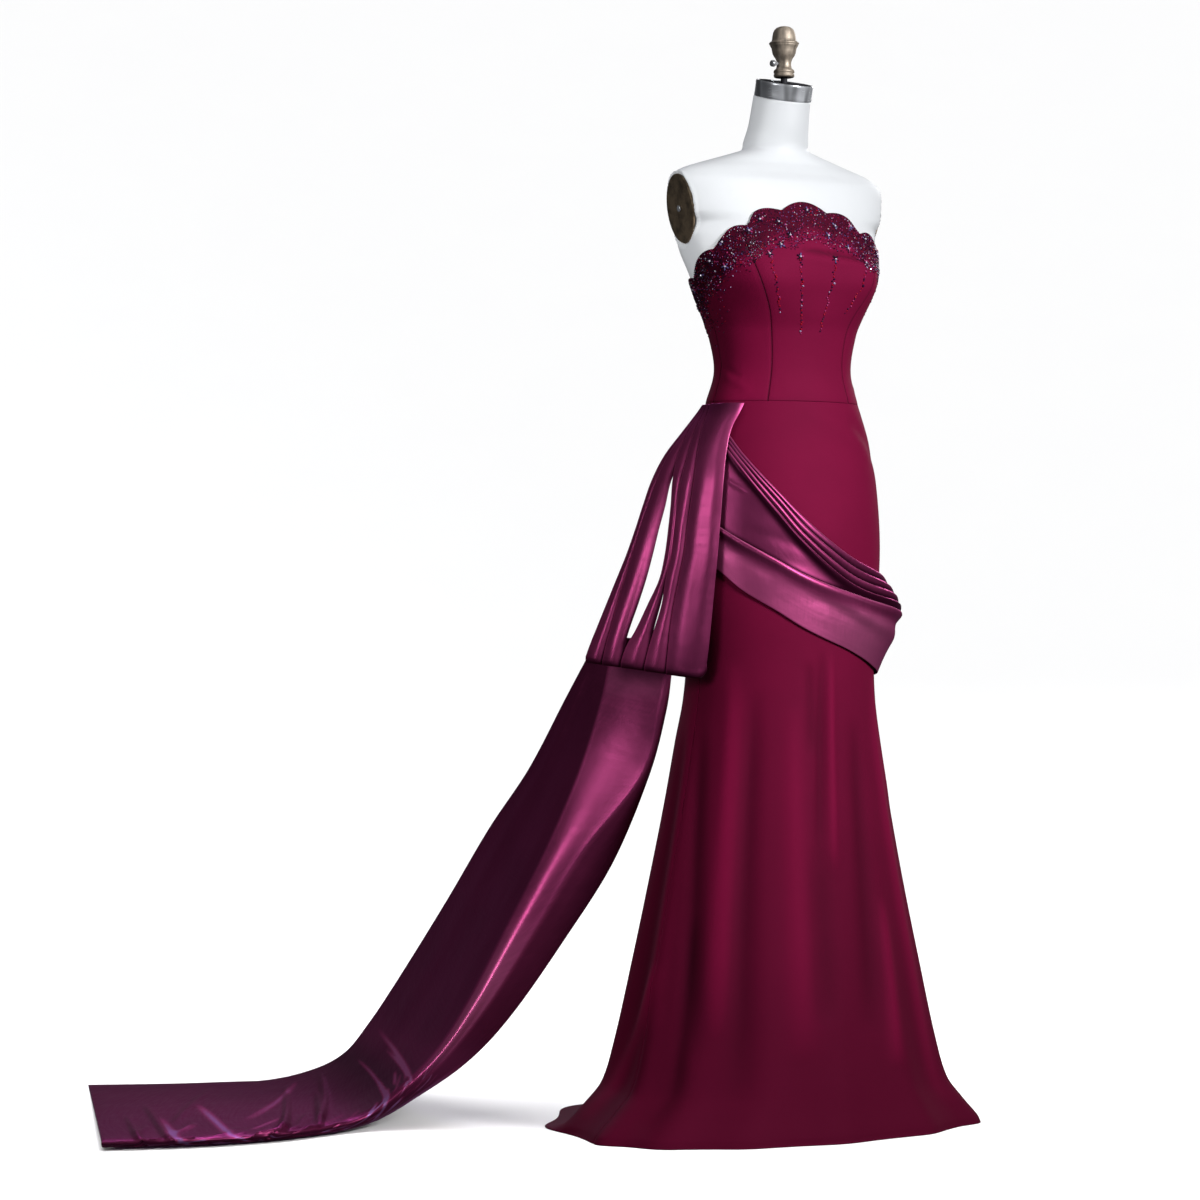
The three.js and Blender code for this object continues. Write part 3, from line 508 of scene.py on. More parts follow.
class Finish:
    """A material while it is built. node() makes every node in it."""

    def __init__(self, name):
        self.material = bpy.data.materials.new(name)
        self.material.use_nodes = True
        self.tree = self.material.node_tree
        self.tree.nodes.clear()

    def node(self, kind, settings=None, sockets=None):
        """A node of a type, with its settings and then its sockets' values or links."""
        made = self.tree.nodes.new(kind)
        for key, value in (settings or {}).items():
            if key == "stops":
                ramp = made.color_ramp
                while len(ramp.elements) < len(value):
                    ramp.elements.new(0.5)
                for element, (place, colour) in zip(ramp.elements, value):
                    element.position = place
                    element.color = (*colour, 1)
            else:
                setattr(made, key, value)
        for key, value in (sockets or {}).items():
            if isinstance(value, Wire):
                self.tree.links.new(value.socket, made.inputs[key])
            else:
                made.inputs[key].default_value = value
        return made

    def wire(self, made, output=0):
        return Wire(self, made.outputs[output])

    def place(self, scale=(1, 1, 1), own_uv=False):
        """Object coordinates or the piece's own map, scaled."""
        source = self.node("ShaderNodeTexCoord")
        mapping = self.node("ShaderNodeMapping", None,
                            {"Vector": self.wire(source, "UV" if own_uv else "Object"),
                             "Scale": scale})
        return self.wire(mapping)

    def noise(self, vector, scale, detail=2.0, roughness=0.5):
        """Soft clouds from 0 to 1, about scale of them to a metre."""
        made = self.node("ShaderNodeTexNoise", None, {"Vector": vector, "Scale": scale,
                                                      "Detail": detail, "Roughness": roughness})
        return self.wire(made, "Fac")

    def attribute(self, name, output="Fac"):
        """An attribute that the piece's mesh carries."""
        return self.wire(self.node("ShaderNodeAttribute", {"attribute_name": name}), output)

    def height_of(self, vector):
        """The Z of a vector."""
        return self.wire(self.node("ShaderNodeSeparateXYZ", None, {0: vector}), "Z")

    def ramp(self, factor, stops):
        return self.wire(self.node("ShaderNodeValToRGB", {"stops": stops}, {0: factor}))

    def span(self, value, low, high, to_low=0.0, to_high=1.0):
        """A value's range carried to another range and held there."""
        made = self.node("ShaderNodeMapRange", {"clamp": True},
                         {"Value": value, "From Min": low, "From Max": high,
                          "To Min": to_low, "To Max": to_high})
        return self.wire(made)

    def mix(self, factor, first, second, blend="MIX"):
        """From the first colour at factor 0 to the second at 1."""
        made = self.node("ShaderNodeMix", {"data_type": "RGBA", "blend_type": blend},
                         {0: factor, 6: colour4(first), 7: colour4(second)})
        return self.wire(made, 2)

    def bump(self, height, distance, strength):
        """Low relief, distance metres deep at height 1."""
        made = self.node("ShaderNodeBump", None,
                         {"Height": height, "Distance": distance, "Strength": strength})
        return self.wire(made)

    def surface(self, sockets):
        """The shader and the output; returns the finished material."""
        held = {key: colour4(value) if "Color" in key or "Tint" in key else value
                for key, value in sockets.items()}
        shader = self.node("ShaderNodeBsdfPrincipled", None, held)
        self.node("ShaderNodeOutputMaterial", None, {"Surface": self.wire(shader)})
        return self.material


def colour4(value):
    """A colour with its alpha, or the wire as it is."""
    if isinstance(value, Wire) or len(value) == 4:
        return value
    return (*value, 1.0)


def shade(colour, share):
    """A colour made darker (share under 1) or lighter."""
    return tuple(min(channel * share, 1.0) for channel in colour[:3])


def crepe_cloth(colours):
    """Matt burgundy crepe: a fine pebbled face, faint slubs and soft uneven dye, with painted shade
    towards the floor and painted shade and highlights from a mesh attribute.
    """
    made = Finish("burgundy crepe")
    base = tuple(colours.crepe)
    weave = made.place((1, 1, 1), own_uv=True)
    solid = made.place()
    dye = made.noise(solid, 7, 3)
    pebble = made.noise(weave, 1500, 3, 0.7)
    slub = made.noise(made.place((30, 600, 1), own_uv=True), 1, 2)
    tone = made.mix(made.span(dye, 0.3, 0.7), shade(base, 0.88), shade(base, 1.1))
    tone = made.mix(made.span(slub, 0.55, 0.8, 0, 0.2), tone, shade(base, 0.72))
    tone = made.mix(made.span(pebble, 0.3, 0.7, 0, 0.28), tone, shade(base, 1.3))
    # Painted shade: darker towards the floor, where less light reaches the skirt.
    tone = made.mix(made.span(made.height_of(solid), 1.0, 0.1, 0, 0.75), tone, shade(base, 0.4))
    lustre = made.attribute("lustre")
    # Painted shade where the attribute is below 0, a painted highlight where it is above 0.
    tone = made.mix(made.span(lustre, 0, -1), tone, shade(base, 0.12))
    tone = made.mix(made.span(lustre, 0, 1), tone, shade(base, 2.4))
    return made.surface({
        "Base Color": tone, "Roughness": made.span(pebble, 0.2, 0.8, 0.62, 0.82),
        "Specular IOR Level": 0.3, "Specular Tint": (1, 0.12, 0.35),
        "Sheen Weight": 0.05, "Sheen Roughness": 0.45, "Sheen Tint": shade(base, 2.6),
        "Normal": made.bump(pebble * 0.7 + slub * 0.3, 0.0005, 0.5)})


def satin_cloth(colours):
    """Lustrous magenta satin: long floats of yarn, faint bars and small creases, with painted
    highlights and painted shade from a mesh attribute.
    """
    made = Finish("magenta satin")
    base = tuple(colours.satin)
    solid = made.place()
    floats = made.noise(made.place((900, 40, 1), own_uv=True), 1, 2)
    bars = made.noise(made.place((14, 240, 1), own_uv=True), 1, 2)
    crumple = made.noise(solid, 26, 3, 0.45)
    dye = made.noise(solid, 6, 2)
    tone = made.mix(made.span(dye, 0.35, 0.65), shade(base, 0.82), shade(base, 1.12))
    tone = made.mix(made.span(floats, 0.4, 0.7, 0, 0.35), tone, shade(base, 1.35))
    lustre = made.attribute("lustre")
    floor_highlight = (0.33, 0.2, 0.5)   # painted highlight colour of the creases and folded edges that lie on the floor
    # The painted highlight colour: pink above the floor, violet where the satin lies on it.
    edge = made.mix(made.span(made.height_of(solid), 0.12, 0.03), colours.satin_highlight, floor_highlight)
    tone = made.mix(made.span(lustre, 0, 1), tone, edge)
    # Painted shade inside the folds and under the pieces that lap over.
    tone = made.mix(made.span(lustre, 0, -1), tone, colours.satin_shade)
    gloss = made.span(bars * 0.5 + floats * 0.5, 0.3, 0.7, 0.33, 0.46)
    return made.surface({
        "Base Color": tone, "Roughness": gloss, "Metallic": 0.75, "Specular IOR Level": 0.4,
        "Specular Tint": (1, 0.35, 0.7), "Sheen Weight": 0.03, "Sheen Roughness": 0.3,
        "Sheen Tint": (0.75, 0.45, 0.7),
        "Normal": made.bump(crumple * 0.75 + floats * 0.02 + bars * 0.04, 0.0022, 0.5)})


def form_cover(colours):
    """Smooth white shell of the dress form: a faint knitted grain and a little soiling."""
    made = Finish("white form cover")
    base = tuple(colours.form)
    solid = made.place()
    cloud = made.noise(solid, 5, 3)
    grain = made.noise(solid, 1100, 2, 0.6)
    rub = made.noise(solid, 34, 4, 0.6)
    tone = made.mix(made.span(cloud, 0.35, 0.7), base, shade(base, 0.94))
    tone = made.mix(made.span(rub, 0.6, 0.8, 0, 0.25), tone, shade(base, 0.9))
    return made.surface({
        "Base Color": tone, "Roughness": made.span(cloud + rub * 0.3, 0.4, 0.9, 0.48, 0.62),
        "Specular IOR Level": 0.35, "Normal": made.bump(grain, 0.0003, 0.35)})


def polished_steel(colours):
    """Turned steel: fine lines round the band, soft smudges, and painted reflections as dark
    upright streaks.
    """
    made = Finish("turned steel")
    solid = made.place()
    lines = made.noise(made.place((2, 2, 900)), 1, 3)
    smudge = made.noise(solid, 42, 3)
    tone = made.mix(made.span(smudge, 0.4, 0.75), colours.steel, shade(colours.steel, 0.78))
    # Painted reflections: dark upright streaks round the band.
    streaks = made.noise(made.place((55, 55, 1)), 1, 1)
    tone = made.mix(made.span(streaks, 0.4, 0.62), shade(colours.steel, 0.3), tone)
    return made.surface({
        "Base Color": tone, "Metallic": 0.66,
        "Roughness": made.span(lines * 0.6 + smudge * 0.4, 0.35, 0.65, 0.17, 0.28),
        "Normal": made.bump(lines, 0.0001, 0.08)})


def aged_bronze(name, colour, streaked, metal):
    """Cast bronze with a brown patina in blots, brighter where hands rub it."""
    made = Finish(name)
    solid = made.place()
    blots = made.noise(solid, 60, 5, 0.6)
    cloud = made.noise(solid, 16, 3)
    pits = made.noise(solid, 420, 2, 0.6)
    streaks = made.noise(made.place((150, 150, 9)), 1, 3)
    tone = made.ramp(blots * (0.75 - streaked) + cloud * 0.25 + streaks * streaked, [
        (0.36, shade(colour, 0.3)), (0.47, shade(colour, 0.75)), (0.6, shade(colour, 1.35))])
    return made.surface({
        "Base Color": tone, "Metallic": made.span(blots, 0.3, 0.7, metal - 0.1, metal + 0.1),
        "Roughness": made.span(cloud + pits * 0.3, 0.4, 0.9, 0.42, 0.6),
        "Normal": made.bump(blots * 0.5 + pits * 0.5, 0.0006, 0.35)})


def black_plate(colours):
    """Satin black plate with dust and an uneven gloss."""
    made = Finish("black cap plate")
    solid = made.place()
    dust = made.noise(solid, 130, 4, 0.7)
    cloud = made.noise(solid, 22, 2)
    tone = made.mix(made.span(dust, 0.55, 0.8, 0, 0.4), colours.plate, (0.06, 0.06, 0.07))
    return made.surface({
        "Base Color": tone, "Roughness": made.span(cloud, 0.3, 0.7, 0.4, 0.55),
        "Specular IOR Level": 0.05, "Normal": made.bump(dust, 0.0003, 0.3)})


def bead_glass(name, gloss, metal, coat, specular):
    """Cut glass beads, each with its own tint, clouded unevenly inside."""
    made = Finish(name)
    tint = made.attribute("tint", "Color")
    cloud = made.noise(made.place(), 700, 2)
    tone = made.mix(made.span(cloud, 0.35, 0.65, 0, 0.4), tint, (0.2, 0.1, 0.2), "SOFT_LIGHT")
    return made.surface({
        "Base Color": tone, "Roughness": made.span(cloud, 0.3, 0.7, gloss, gloss + 0.12),
        "Metallic": metal, "Specular IOR Level": specular,
        "Coat Weight": coat, "Coat Roughness": 0.1})


def sewing_thread(colours):
    """Matt thread, a little lighter than the crepe."""
    made = Finish("burgundy thread")
    base = tuple(colours.crepe)
    twist = made.noise(made.place(), 1800, 2)
    return made.surface({
        "Base Color": made.mix(made.span(twist, 0.3, 0.7), shade(base, 0.8), shade(base, 1.6)),
        "Roughness": 0.6, "Normal": made.bump(twist, 0.0002, 0.4)})


FINISHES = {}


def finish_of(name):
    """The finished materials, made once."""
    colours = bpy.context.scene.gown_colours
    if not FINISHES:
        FINISHES.update({
            "crepe": crepe_cloth(colours), "satin": satin_cloth(colours),
            "shell": form_cover(colours), "steel": polished_steel(colours),
            "bronze": aged_bronze("aged bronze finial", tuple(colours.finial), 0.45, 0.5),
            "arm bronze": aged_bronze("dark bronze arm plate", tuple(colours.arm_plate), 0.05, 0.7),
            "black_plate": black_plate(colours), "thread": sewing_thread(colours),
            "dark bead": bead_glass("smoky bead", 0.2, 0.0, 0.0, 0.14),
            "clear bead": bead_glass("clear bead", 0.08, 0.4, 0.2, 0.6)})
    return FINISHES[name]


def hand_over(piece, finish, slot, *nodes):
    """Gives a piece its material, its body and the nodes it stands for. slot is not used."""
    piece.data.materials.append(finish_of(finish))
    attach(piece, "root")
    if nodes:
        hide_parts(*nodes)
    return piece


# ---------------------------------------------------------------- properties
def length(name, description, default, low, high):
    """A size in metres that a user can change."""
    return FloatProperty(name=name, description=description, default=default, min=low, max=high,
                         unit="LENGTH")


def colour(name, of, default):
    """A colour that a user can change."""
    return FloatVectorProperty(name=name, description=f"Colour of the {of}", size=3,
                               subtype="COLOR", default=default, min=0, max=1)


class GownSizes(bpy.types.PropertyGroup):
    crepe_wall: length("Crepe wall", "Thickness of the crepe panels", 0.0016, 0.001, 0.003)
    satin_wall: length("Satin wall", "Thickness of the satin pieces", 0.0014, 0.001, 0.003)
    bead_size: length("Bead size", "Width of a small round bead", 0.0019, 0.001, 0.005)
    bead_count: IntProperty(name="Bead count", description="Beads scattered over the top band",
                            default=8000, min=100, max=9500)


class GownColours(bpy.types.PropertyGroup):
    crepe: colour("Crepe", "crepe", (0.107, 0.0021, 0.021))
    satin: colour("Satin", "satin", (0.27, 0.035, 0.12))
    # Painted highlight colour of the satin's folded edges.
    satin_highlight: colour("Satin edge", "satin's folded edges", (0.62, 0.15, 0.33))
    # Painted shade colour of the satin inside its folds.
    satin_shade: colour("Satin depth", "satin inside its folds", (0.03, 0.002, 0.012))
    form: colour("Form", "dress form", (0.45, 0.463, 0.48))
    steel: colour("Steel", "neck ring", (0.72, 0.74, 0.78))
    finial: colour("Finial", "finial", (0.3, 0.25, 0.2))
    arm_plate: colour("Arm plates", "arm plates", (0.23, 0.17, 0.11))
    plate: colour("Cap plate", "cap plate", (0.02, 0.02, 0.024))


class GownStage(bpy.types.PropertyGroup):
    lens: FloatProperty(name="Lens", description="Focal length of the camera", default=110,
                        min=20, max=300, subtype="DISTANCE_CAMERA")
    height: length("Height", "Height of the camera over the floor", 0.76, 0.1, 3)
    key_power: FloatProperty(name="Key light", description="Power of the key light in watts",
                             default=42, min=0, max=2000)


# ---------------------------------------------------------------- bodice
def seam(name, side, inset):
    """Turn of a seam at a share of the panel's height, half a gap to one side."""
    return lambda share: side * read(SEAMS, "share", name, np.clip(share, 0, 1)) + inset


def bodice_panel(name, columns, first, last, wall):
    """A panel between two seams: turn = first to last over u, height = waist to the scalloped
    edge over 1 - v, with the crepe's creases and a slight dip into each seam."""
    def place(u, share):
        turn = lerp(first(share), last(share), u)
        return turn, lerp(WAIST_Z + SEAM_GAP / 2, top_edge_z(turn), share)

    def inner(u, v):
        share = 1 - v
        turn, z = place(u, share)
        dip = -0.5 * (bump(u, 0.03) + bump(1 - u, 0.03)) - 0.4 * bump(v - 1, 0.02)
        ease = step(0, 0.06, share) * step(0, 0.04, 1 - share)
        return body(turn, z, dip + creases(turn, z, BODICE_CREASES) * ease)

    def lustre(u, v, right, left, over, low):
        """Painted shade under the beads and in the bust's creases, dark seam lines, and a painted
        highlight on the wearer's right side."""
        turn, z = place(u, 1 - v)
        recess = np.clip(-creases(turn, z, BODICE_CREASES[:3]) / 2, 0, 1)
        seam_line = bump(right, 1.2) + bump(left, 1.2) + bump(low, 1.2)
        # A painted highlight on the wearer's right side.
        side_highlight = 0.3 * bump(turn_between(turn, -72), 30) * step(34, 70, over)
        # Painted shade under the beads and in the bust's creases; the seams get dark lines.
        return side_highlight - np.clip(0.78 * step(60, 34, over) + 0.6 * recess
                              + 0.6 * seam_line * step(30, 55, over), 0, 1)
    return cloth_wall(name, "crepe", inner, edged(columns, columns * 2.6, wall),
                      edged(64, 190, wall), wall, lustre)


class GOWN_OT_bodice(bpy.types.Operator):
    """Adds the seven crepe panels of the bodice with their scalloped top edge"""
    bl_idname = "gown.add_bodice"
    bl_label = "Bodice"

    def execute(self, context):
        wall = context.scene.gown_sizes.crepe_wall / MM
        gap = HALF_GAP_TURN
        centre = bodice_panel("bodice_centre_front", 96, seam("princess", -1, gap),
                              seam("princess", 1, -gap), wall)
        for side, hand in ((-1, "right"), (1, "left")):
            ends = {
                "side_front": (seam("princess", side, side * gap), seam("side", side, -side * gap)),
                "side_back": (seam("side", side, side * gap), seam("back", side, -side * gap)),
                "centre_back": (seam("back", side, side * gap),
                                lambda share: side * (180 - gap) + 0 * share)}
            for part, (front, back) in ends.items():
                if side < 0:
                    front, back = back, front
                piece = bodice_panel(f"bodice_{part}_{hand}", 48, front, back, wall)
        return {"FINISHED"}


# ---------------------------------------------------------------- skirt
SKIRT_LEVELS = [1085, 1040, 985, 910, 820, 720, 640, 550, 450, 350, 250, 160, 95, 50, 20, 5, 0]


def skirt_panel(name, columns, first, last, wall):
    """A panel from the waist seam to the floor: height follows the levels over v, with the
    crepe's creases and a dip into each seam."""
    shares = np.linspace(0, 1, len(SKIRT_LEVELS))

    def place(u, v):
        turn = lerp(first + HALF_GAP_TURN, last - HALF_GAP_TURN, u)
        return turn, np.minimum(smooth(shares, SKIRT_LEVELS, v), WAIST_Z - SEAM_GAP / 2)

    def inner(u, v):
        turn, z = place(u, v)
        dip = -0.7 * (bump(u, 0.012) + bump(1 - u, 0.012)) - 0.4 * bump(v, 0.01)
        ease = step(0, 0.05, v) * step(1.0, 0.93, v)
        return body(turn, z, dip + 1.5 * creases(turn, z, SKIRT_CREASES) * ease)

    def lustre(u, v, right, left, over, low):
        """Painted shade in the hollows of the creases and a painted highlight on their crests."""
        turn, z = place(u, v)
        fold = creases(turn, z, SKIRT_CREASES) * step(1070, 700, z)
        return np.clip(0.16 * np.minimum(fold, 0) + 0.11 * np.maximum(fold, 0), -1, 1)
    return cloth_wall(name, "crepe", inner, edged(columns, columns * 3.4, wall),
                      edged(150, 1100, wall), wall, lustre)


class GOWN_OT_skirt(bpy.types.Operator):
    """Adds the three crepe panels of the skirt, from the waist seam to the floor"""
    bl_idname = "gown.add_skirt"
    bl_label = "Skirt"

    def execute(self, context):
        wall = context.scene.gown_sizes.crepe_wall / MM
        front = skirt_panel("skirt_front", 190, -90, 90, wall)
        for hand, first, last in (("right", -180, -90), ("left", 90, 180)):
            back = skirt_panel(f"skirt_back_{hand}", 110, first, last, wall)
        return {"FINISHED"}


# ---------------------------------------------------------------- hip drape
DRAPE_CREASES = [
    (-64, 1000, -36, 956, 9, 1.4), (-60, 968, -46, 950, 3, -1.4), (-66, 940, -20, 905, 12, -1),
    (-40, 925, 12, 862, 13, 1.2), (-58, 905, -6, 862, 9, -0.8), (-30, 842, 34, 760, 12, 2.4),
    (-10, 800, 50, 726, 10, -2), (20, 770, 70, 730, 8, 2), (-62, 870, -30, 826, 9, -1.6),
    (60, 748, 100, 712, 9, -2.4), (80, 800, 130, 790, 7, 1.8), (100, 740, 160, 735, 10, 2.2),
    (140, 770, 196, 760, 9, -2), (170, 800, 216, 850, 10, 2.2), (206, 790, 240, 850, 9, -1.8),
    (228, 880, 262, 960, 11, 2.2), (240, 840, 266, 890, 8, -1.6)]
DRAPE_STAND_OFF = 4.4           # from the skirt's inner face to the drape's
DRAPE_LAP = 2.5                 # of each piece over the one above it
DRAPE_ENDS = (-89.8, 269.8)     # its two ends meet at the wearer's right


def drape_piece(name, rows, top_line, next_line, fold, wall):
    """One piece of the drape between two of its lines. It stands off the skirt by the bulge at
    its share of the drape's height, and its upper edge is a soft fold, lifted by fold times
    exp(-(distance / width)^2), that lies over the piece above it."""
    def inner(u, v):
        turn = lerp(*DRAPE_ENDS, u)
        line = {column: read(DRAPE, "turn", column, turn)
                for column in ("top", top_line, next_line, "hem", "proud")}
        top = line[top_line] + (DRAPE_LAP if top_line != "top" else 0)
        low = line[next_line]
        z = lerp(top, low, v)
        share = (line["top"] - z) / (line["top"] - line["hem"])
        push = line["proud"] * read(DRAPE_BULGE, "share", "push", share)
        height = top - z
        roll = fold * bump(np.maximum(height - 3, 0), 9) - 1.6 * bump(height, 1.6)
        sag = creases(turn, z, DRAPE_CREASES) * step(0, 12, height) * step(0, 10, z - low + 4)
        return body(turn, z, DRAPE_STAND_OFF + roll + push + sag)

    def lustre(u, v, right, left, over, low):
        """A painted highlight along the folded upper edge, then painted shade under it. The band
        has a second painted highlight line, a painted sheen near the front and painted shade at its
        end."""
        # A painted highlight along the folded upper edge; the darkening terms below are painted
        # shade.
        edge = 0.85 * bump(over, 1.5)
        if name == "drape_band":
            turn = lerp(*DRAPE_ENDS, u)
            edge = edge + 0.595 * bump(over - 5.5, 1.2) + 0.14 * step(1.5, 4, over)
            painted_sheen = 0.22 * bump(turn_between(turn, 30), 26)
            painted_shade = 0.55 * step(56, 74, turn) * step(1.5, 6, over)
            return np.clip(edge + painted_sheen - painted_shade - 0.6 * step(30, 3, over) * step(1.5, 3, over),
                           -1, 1)
        if name == "drape_panel":
            painted_shade = 0.55 * step(1.5, 4, over) + 0.6 * step(30, 3, over) * step(1.5, 3, over)
        else:
            painted_shade = 0.1 * step(1.5, 4, over) + 0.6 * step(2.5, 6, over)
        return np.clip(edge - painted_shade - 0.5 * step(10, 2, low), -1, 1)
    return cloth_wall(name, "satin", inner, edged(180, 900, wall), edged(rows, rows * 2.2, wall),
                      wall, lustre)


class GOWN_OT_drape(bpy.types.Operator):
    """Adds the satin hip drape: three narrow pleats, the wide panel and the lower band"""
    bl_idname = "gown.add_drape"
    bl_label = "Hip drape"

    def execute(self, context):
        wall = context.scene.gown_sizes.satin_wall / MM
        pieces = (("drape_pleat_1", 8, "top", "fold2", 2.6, 0.016),
                  ("drape_pleat_2", 8, "fold2", "fold3", 3.2, 0.018),
                  ("drape_pleat_3", 8, "fold3", "fold4", 3.6, 0.018),
                  ("drape_panel", 36, "fold4", "band", 4, 0.06),
                  ("drape_band", 36, "band", "hem", 5, 0.078))
        for name, rows, top, low, fold, area in pieces:
            piece = drape_piece(name, rows, top, low, fold, wall)
        return {"FINISHED"}


# ---------------------------------------------------------------- sash and train
def sash_back(z, out):
    """How far behind the axis the front of the sash lies: inner to outer edge over the share
    of the width, less bow times 4 s (1 - s)."""
    near, far = read(SASH, "z", "p5e", z), read(SASH, "z", "p1", z)
    share = (out - near) / (far - near)
    return (lerp(read(SASH, "z", "inner", z), read(SASH, "z", "outer", z), share)
            - read(SASH, "z", "bow", z) * 4 * share * (1 - share))


def sash_pleat(name, far, near, following, rows, pleat_shade, wall):
    """One pleat: down the front, a half turn of small radius, and up behind. Across it rises
    by a share of its width times sin(pi u), with soft lengthwise ripples. Where the pleat that
    follows starts at its near edge, that edge runs on under it: lap and tuck, times
    exp(-(gap / 3)^2)."""
    front_end, turn_end = 0.82, 0.9     # shares of the length down where the half turn lies
    last = following is None
    low_far, low_near = (SASH_LOW_Z + SASH_LOW_SLOPE * (SASH[edge][0] - SASH_LOW_OUT)
                         for edge in (far, near))

    def inner(u, v):
        u, v = np.broadcast_arrays(u, v)
        low = lerp(low_far, low_near, u)
        if last:
            corner = np.clip(1 - (1 - u) * (SASH[far][0] - SASH[near][0]) / SASH_CORNER, 0, 1)
            low = low + SASH_CORNER * (1 - np.sqrt(np.maximum(1 - corner**2, 0)))
        height = lerp(SASH_TOP_Z, low, np.minimum(v / front_end, 1))
        rise = np.maximum(v - turn_end, 0) / (1 - turn_end) * (SASH_BACK_TOP - low)
        level = height + rise
        far_out = read(SASH, "z", far, level)
        near_out = read(SASH, "z", near, level)
        closed = 0 if last else bump(near_out - read(SASH, "z", following, level), 3)
        out = lerp(far_out, near_out - SASH_LAP * closed, u)
        crown = (SASH_CROWN * (far_out - near_out) * np.sin(np.pi * np.clip(u, 0, 1))
                 + ripples(u, v, rows, 0.15))
        front = sash_back(level, out) - crown + SASH_TUCK * closed * step(0.4, 0.95, u)
        angle = np.pi * np.clip((v - front_end) / (turn_end - front_end), 0, 1)
        lean = SASH_BACK_LEAN * rise / (SASH_BACK_TOP - low)
        back = front + SASH_TURN * (1 - np.cos(angle)) + lean
        return fall_point(out, back, height - SASH_TURN * np.sin(angle) + rise)

    def lustre(u, v, right, left, over, low):
        """A painted highlight along the far edge, and painted shade beside the next pleat, in the
        half turn, behind and at the very top."""
        # A painted highlight along the far edge; the terms taken away are painted shade.
        edge = bump(right, 1.3) + (bump(left, 1.6) * step(0.02, 0.14, v) if last else 0)
        shadow = 0 if last else step(9, 2, left)
        return np.clip(0.8 * edge - 0.75 * shadow - 0.8 * step(front_end - 0.05, turn_end, v)
                       - 0.35 * step(0.06, 0, v) - pleat_shade - 0.3 * step(0.3, front_end, v), -1, 1)
    return cloth_wall(name, "satin", inner, edged(22, 34, wall), edged(100, 470, wall), wall,
                      lustre)


# Node, far edge, near edge, the edge that follows, its ripples as place across, drift down,
# # width, height, start and end, how much painted shade darkens the whole pleat, and its area.
SASH_PIECES = (
    ("sash_pleat_1", "p1", "p2", "p2", [(0.5, 0, 0.2, 1.2, 0.3, 0.9)], 0.05, 0.010),
    ("sash_pleat_2", "p2", "p2e", "p3",
     [(0.35, 0, 0.2, 1.1, 0.2, 0.9), (0.75, 0, 0.18, -0.9, 0.35, 0.95)], 0.02, 0.012),
    ("sash_pleat_3", "p3", "p3e", "p4", [(0.5, 0, 0.2, 1.2, 0.25, 0.9)], 0.1, 0.009),
    ("sash_pleat_4", "p4", "p5", "p5", [(0.4, 0, 0.26, 0.9, 0.3, 0.95)], 0.12, 0.011),
    ("sash_pleat_5", "p5", "p5e", None,
     [(0.25, 0, 0.12, 0.5, 0.2, 0.95), (0.5, 0, 0.16, -1.0, 0.1, 0.8),
      (0.8, 0, 0.12, 0.6, 0.3, 0.95)], 0.14, 0.024))

TRAIN_WIDE, TRAIN_LONG = 290, 1400      # near enough for the creases on the floor
TRAIN_SPACING = 0.16                    # how far the rows are drawn down towards the floor
# Lengthwise ripples: place across, drift down, width, height, and where they start and end.
TRAIN_RIPPLES = [
    (0.12, 0.05, 0.05, 3, 0.05, 0.8), (0.28, -0.04, 0.06, -3, 0.1, 0.85),
    (0.4, 0.04, 0.04, 2, 0.2, 0.9), (0.58, 0.02, 0.05, 0.7, 0.02, 0.6),
    (0.7, 0.02, 0.06, -0.8, 0.1, 0.75), (0.86, 0.02, 0.05, 1.6, 0.1, 0.6)]


def floor_creases():
    """Creases where the train lands and lies: a few long slanting ones, then short scattered
    ones, closer together towards the near edge. Each runs from u, v to u, v."""
    rng = np.random.default_rng(5)
    long = [(0.05, 0.735, 0.5, 0.79, 6, 6), (0.2, 0.765, 0.62, 0.8, 4, 4),
            (0.1, 0.8, 0.6, 0.83, 4, 4), (0.35, 0.815, 0.9, 0.86, 4, 5),
            (0.5, 0.84, 0.95, 0.9, 4, 4), (0.05, 0.88, 0.4, 0.93, 5, 3),
            (0.2, 0.95, 0.7, 0.93, 4, 4), (0.62, 0.9, 0.9, 0.985, 4, 5),
            (0.3, 0.97, 0.9, 0.955, 4, 4)]
    short = []
    for _ in range(80):
        u = 0.96 - 0.62 * rng.random() ** 1.7
        v = rng.uniform(0.76, 0.985)
        turn = rng.uniform(-0.5, 0.5)
        reach = rng.uniform(14, 44)
        short.append((u, v, u + reach * math.sin(turn + 0.9) / TRAIN_WIDE,
                      v + reach * math.cos(turn) / TRAIN_LONG,
                      rng.uniform(2.4, 4), rng.uniform(1.8, 4.2)))
    return long + short


FLOOR_CREASES = floor_creases()


def crinkles(u, v):
    """Height of the creases of the train where it lies on the floor."""
    on_floor = step(0.7, 0.8, v) * step(0, 0.05, u) * step(1, 0.97, u) * step(1, 0.985, v)
    return on_floor * sum(
        crease((u - from_u) * TRAIN_WIDE, (v - from_v) * TRAIN_LONG,
               (to_u - from_u) * TRAIN_WIDE, (to_v - from_v) * TRAIN_LONG, width, height)
        for from_u, from_v, to_u, to_v, width, height in FLOOR_CREASES)


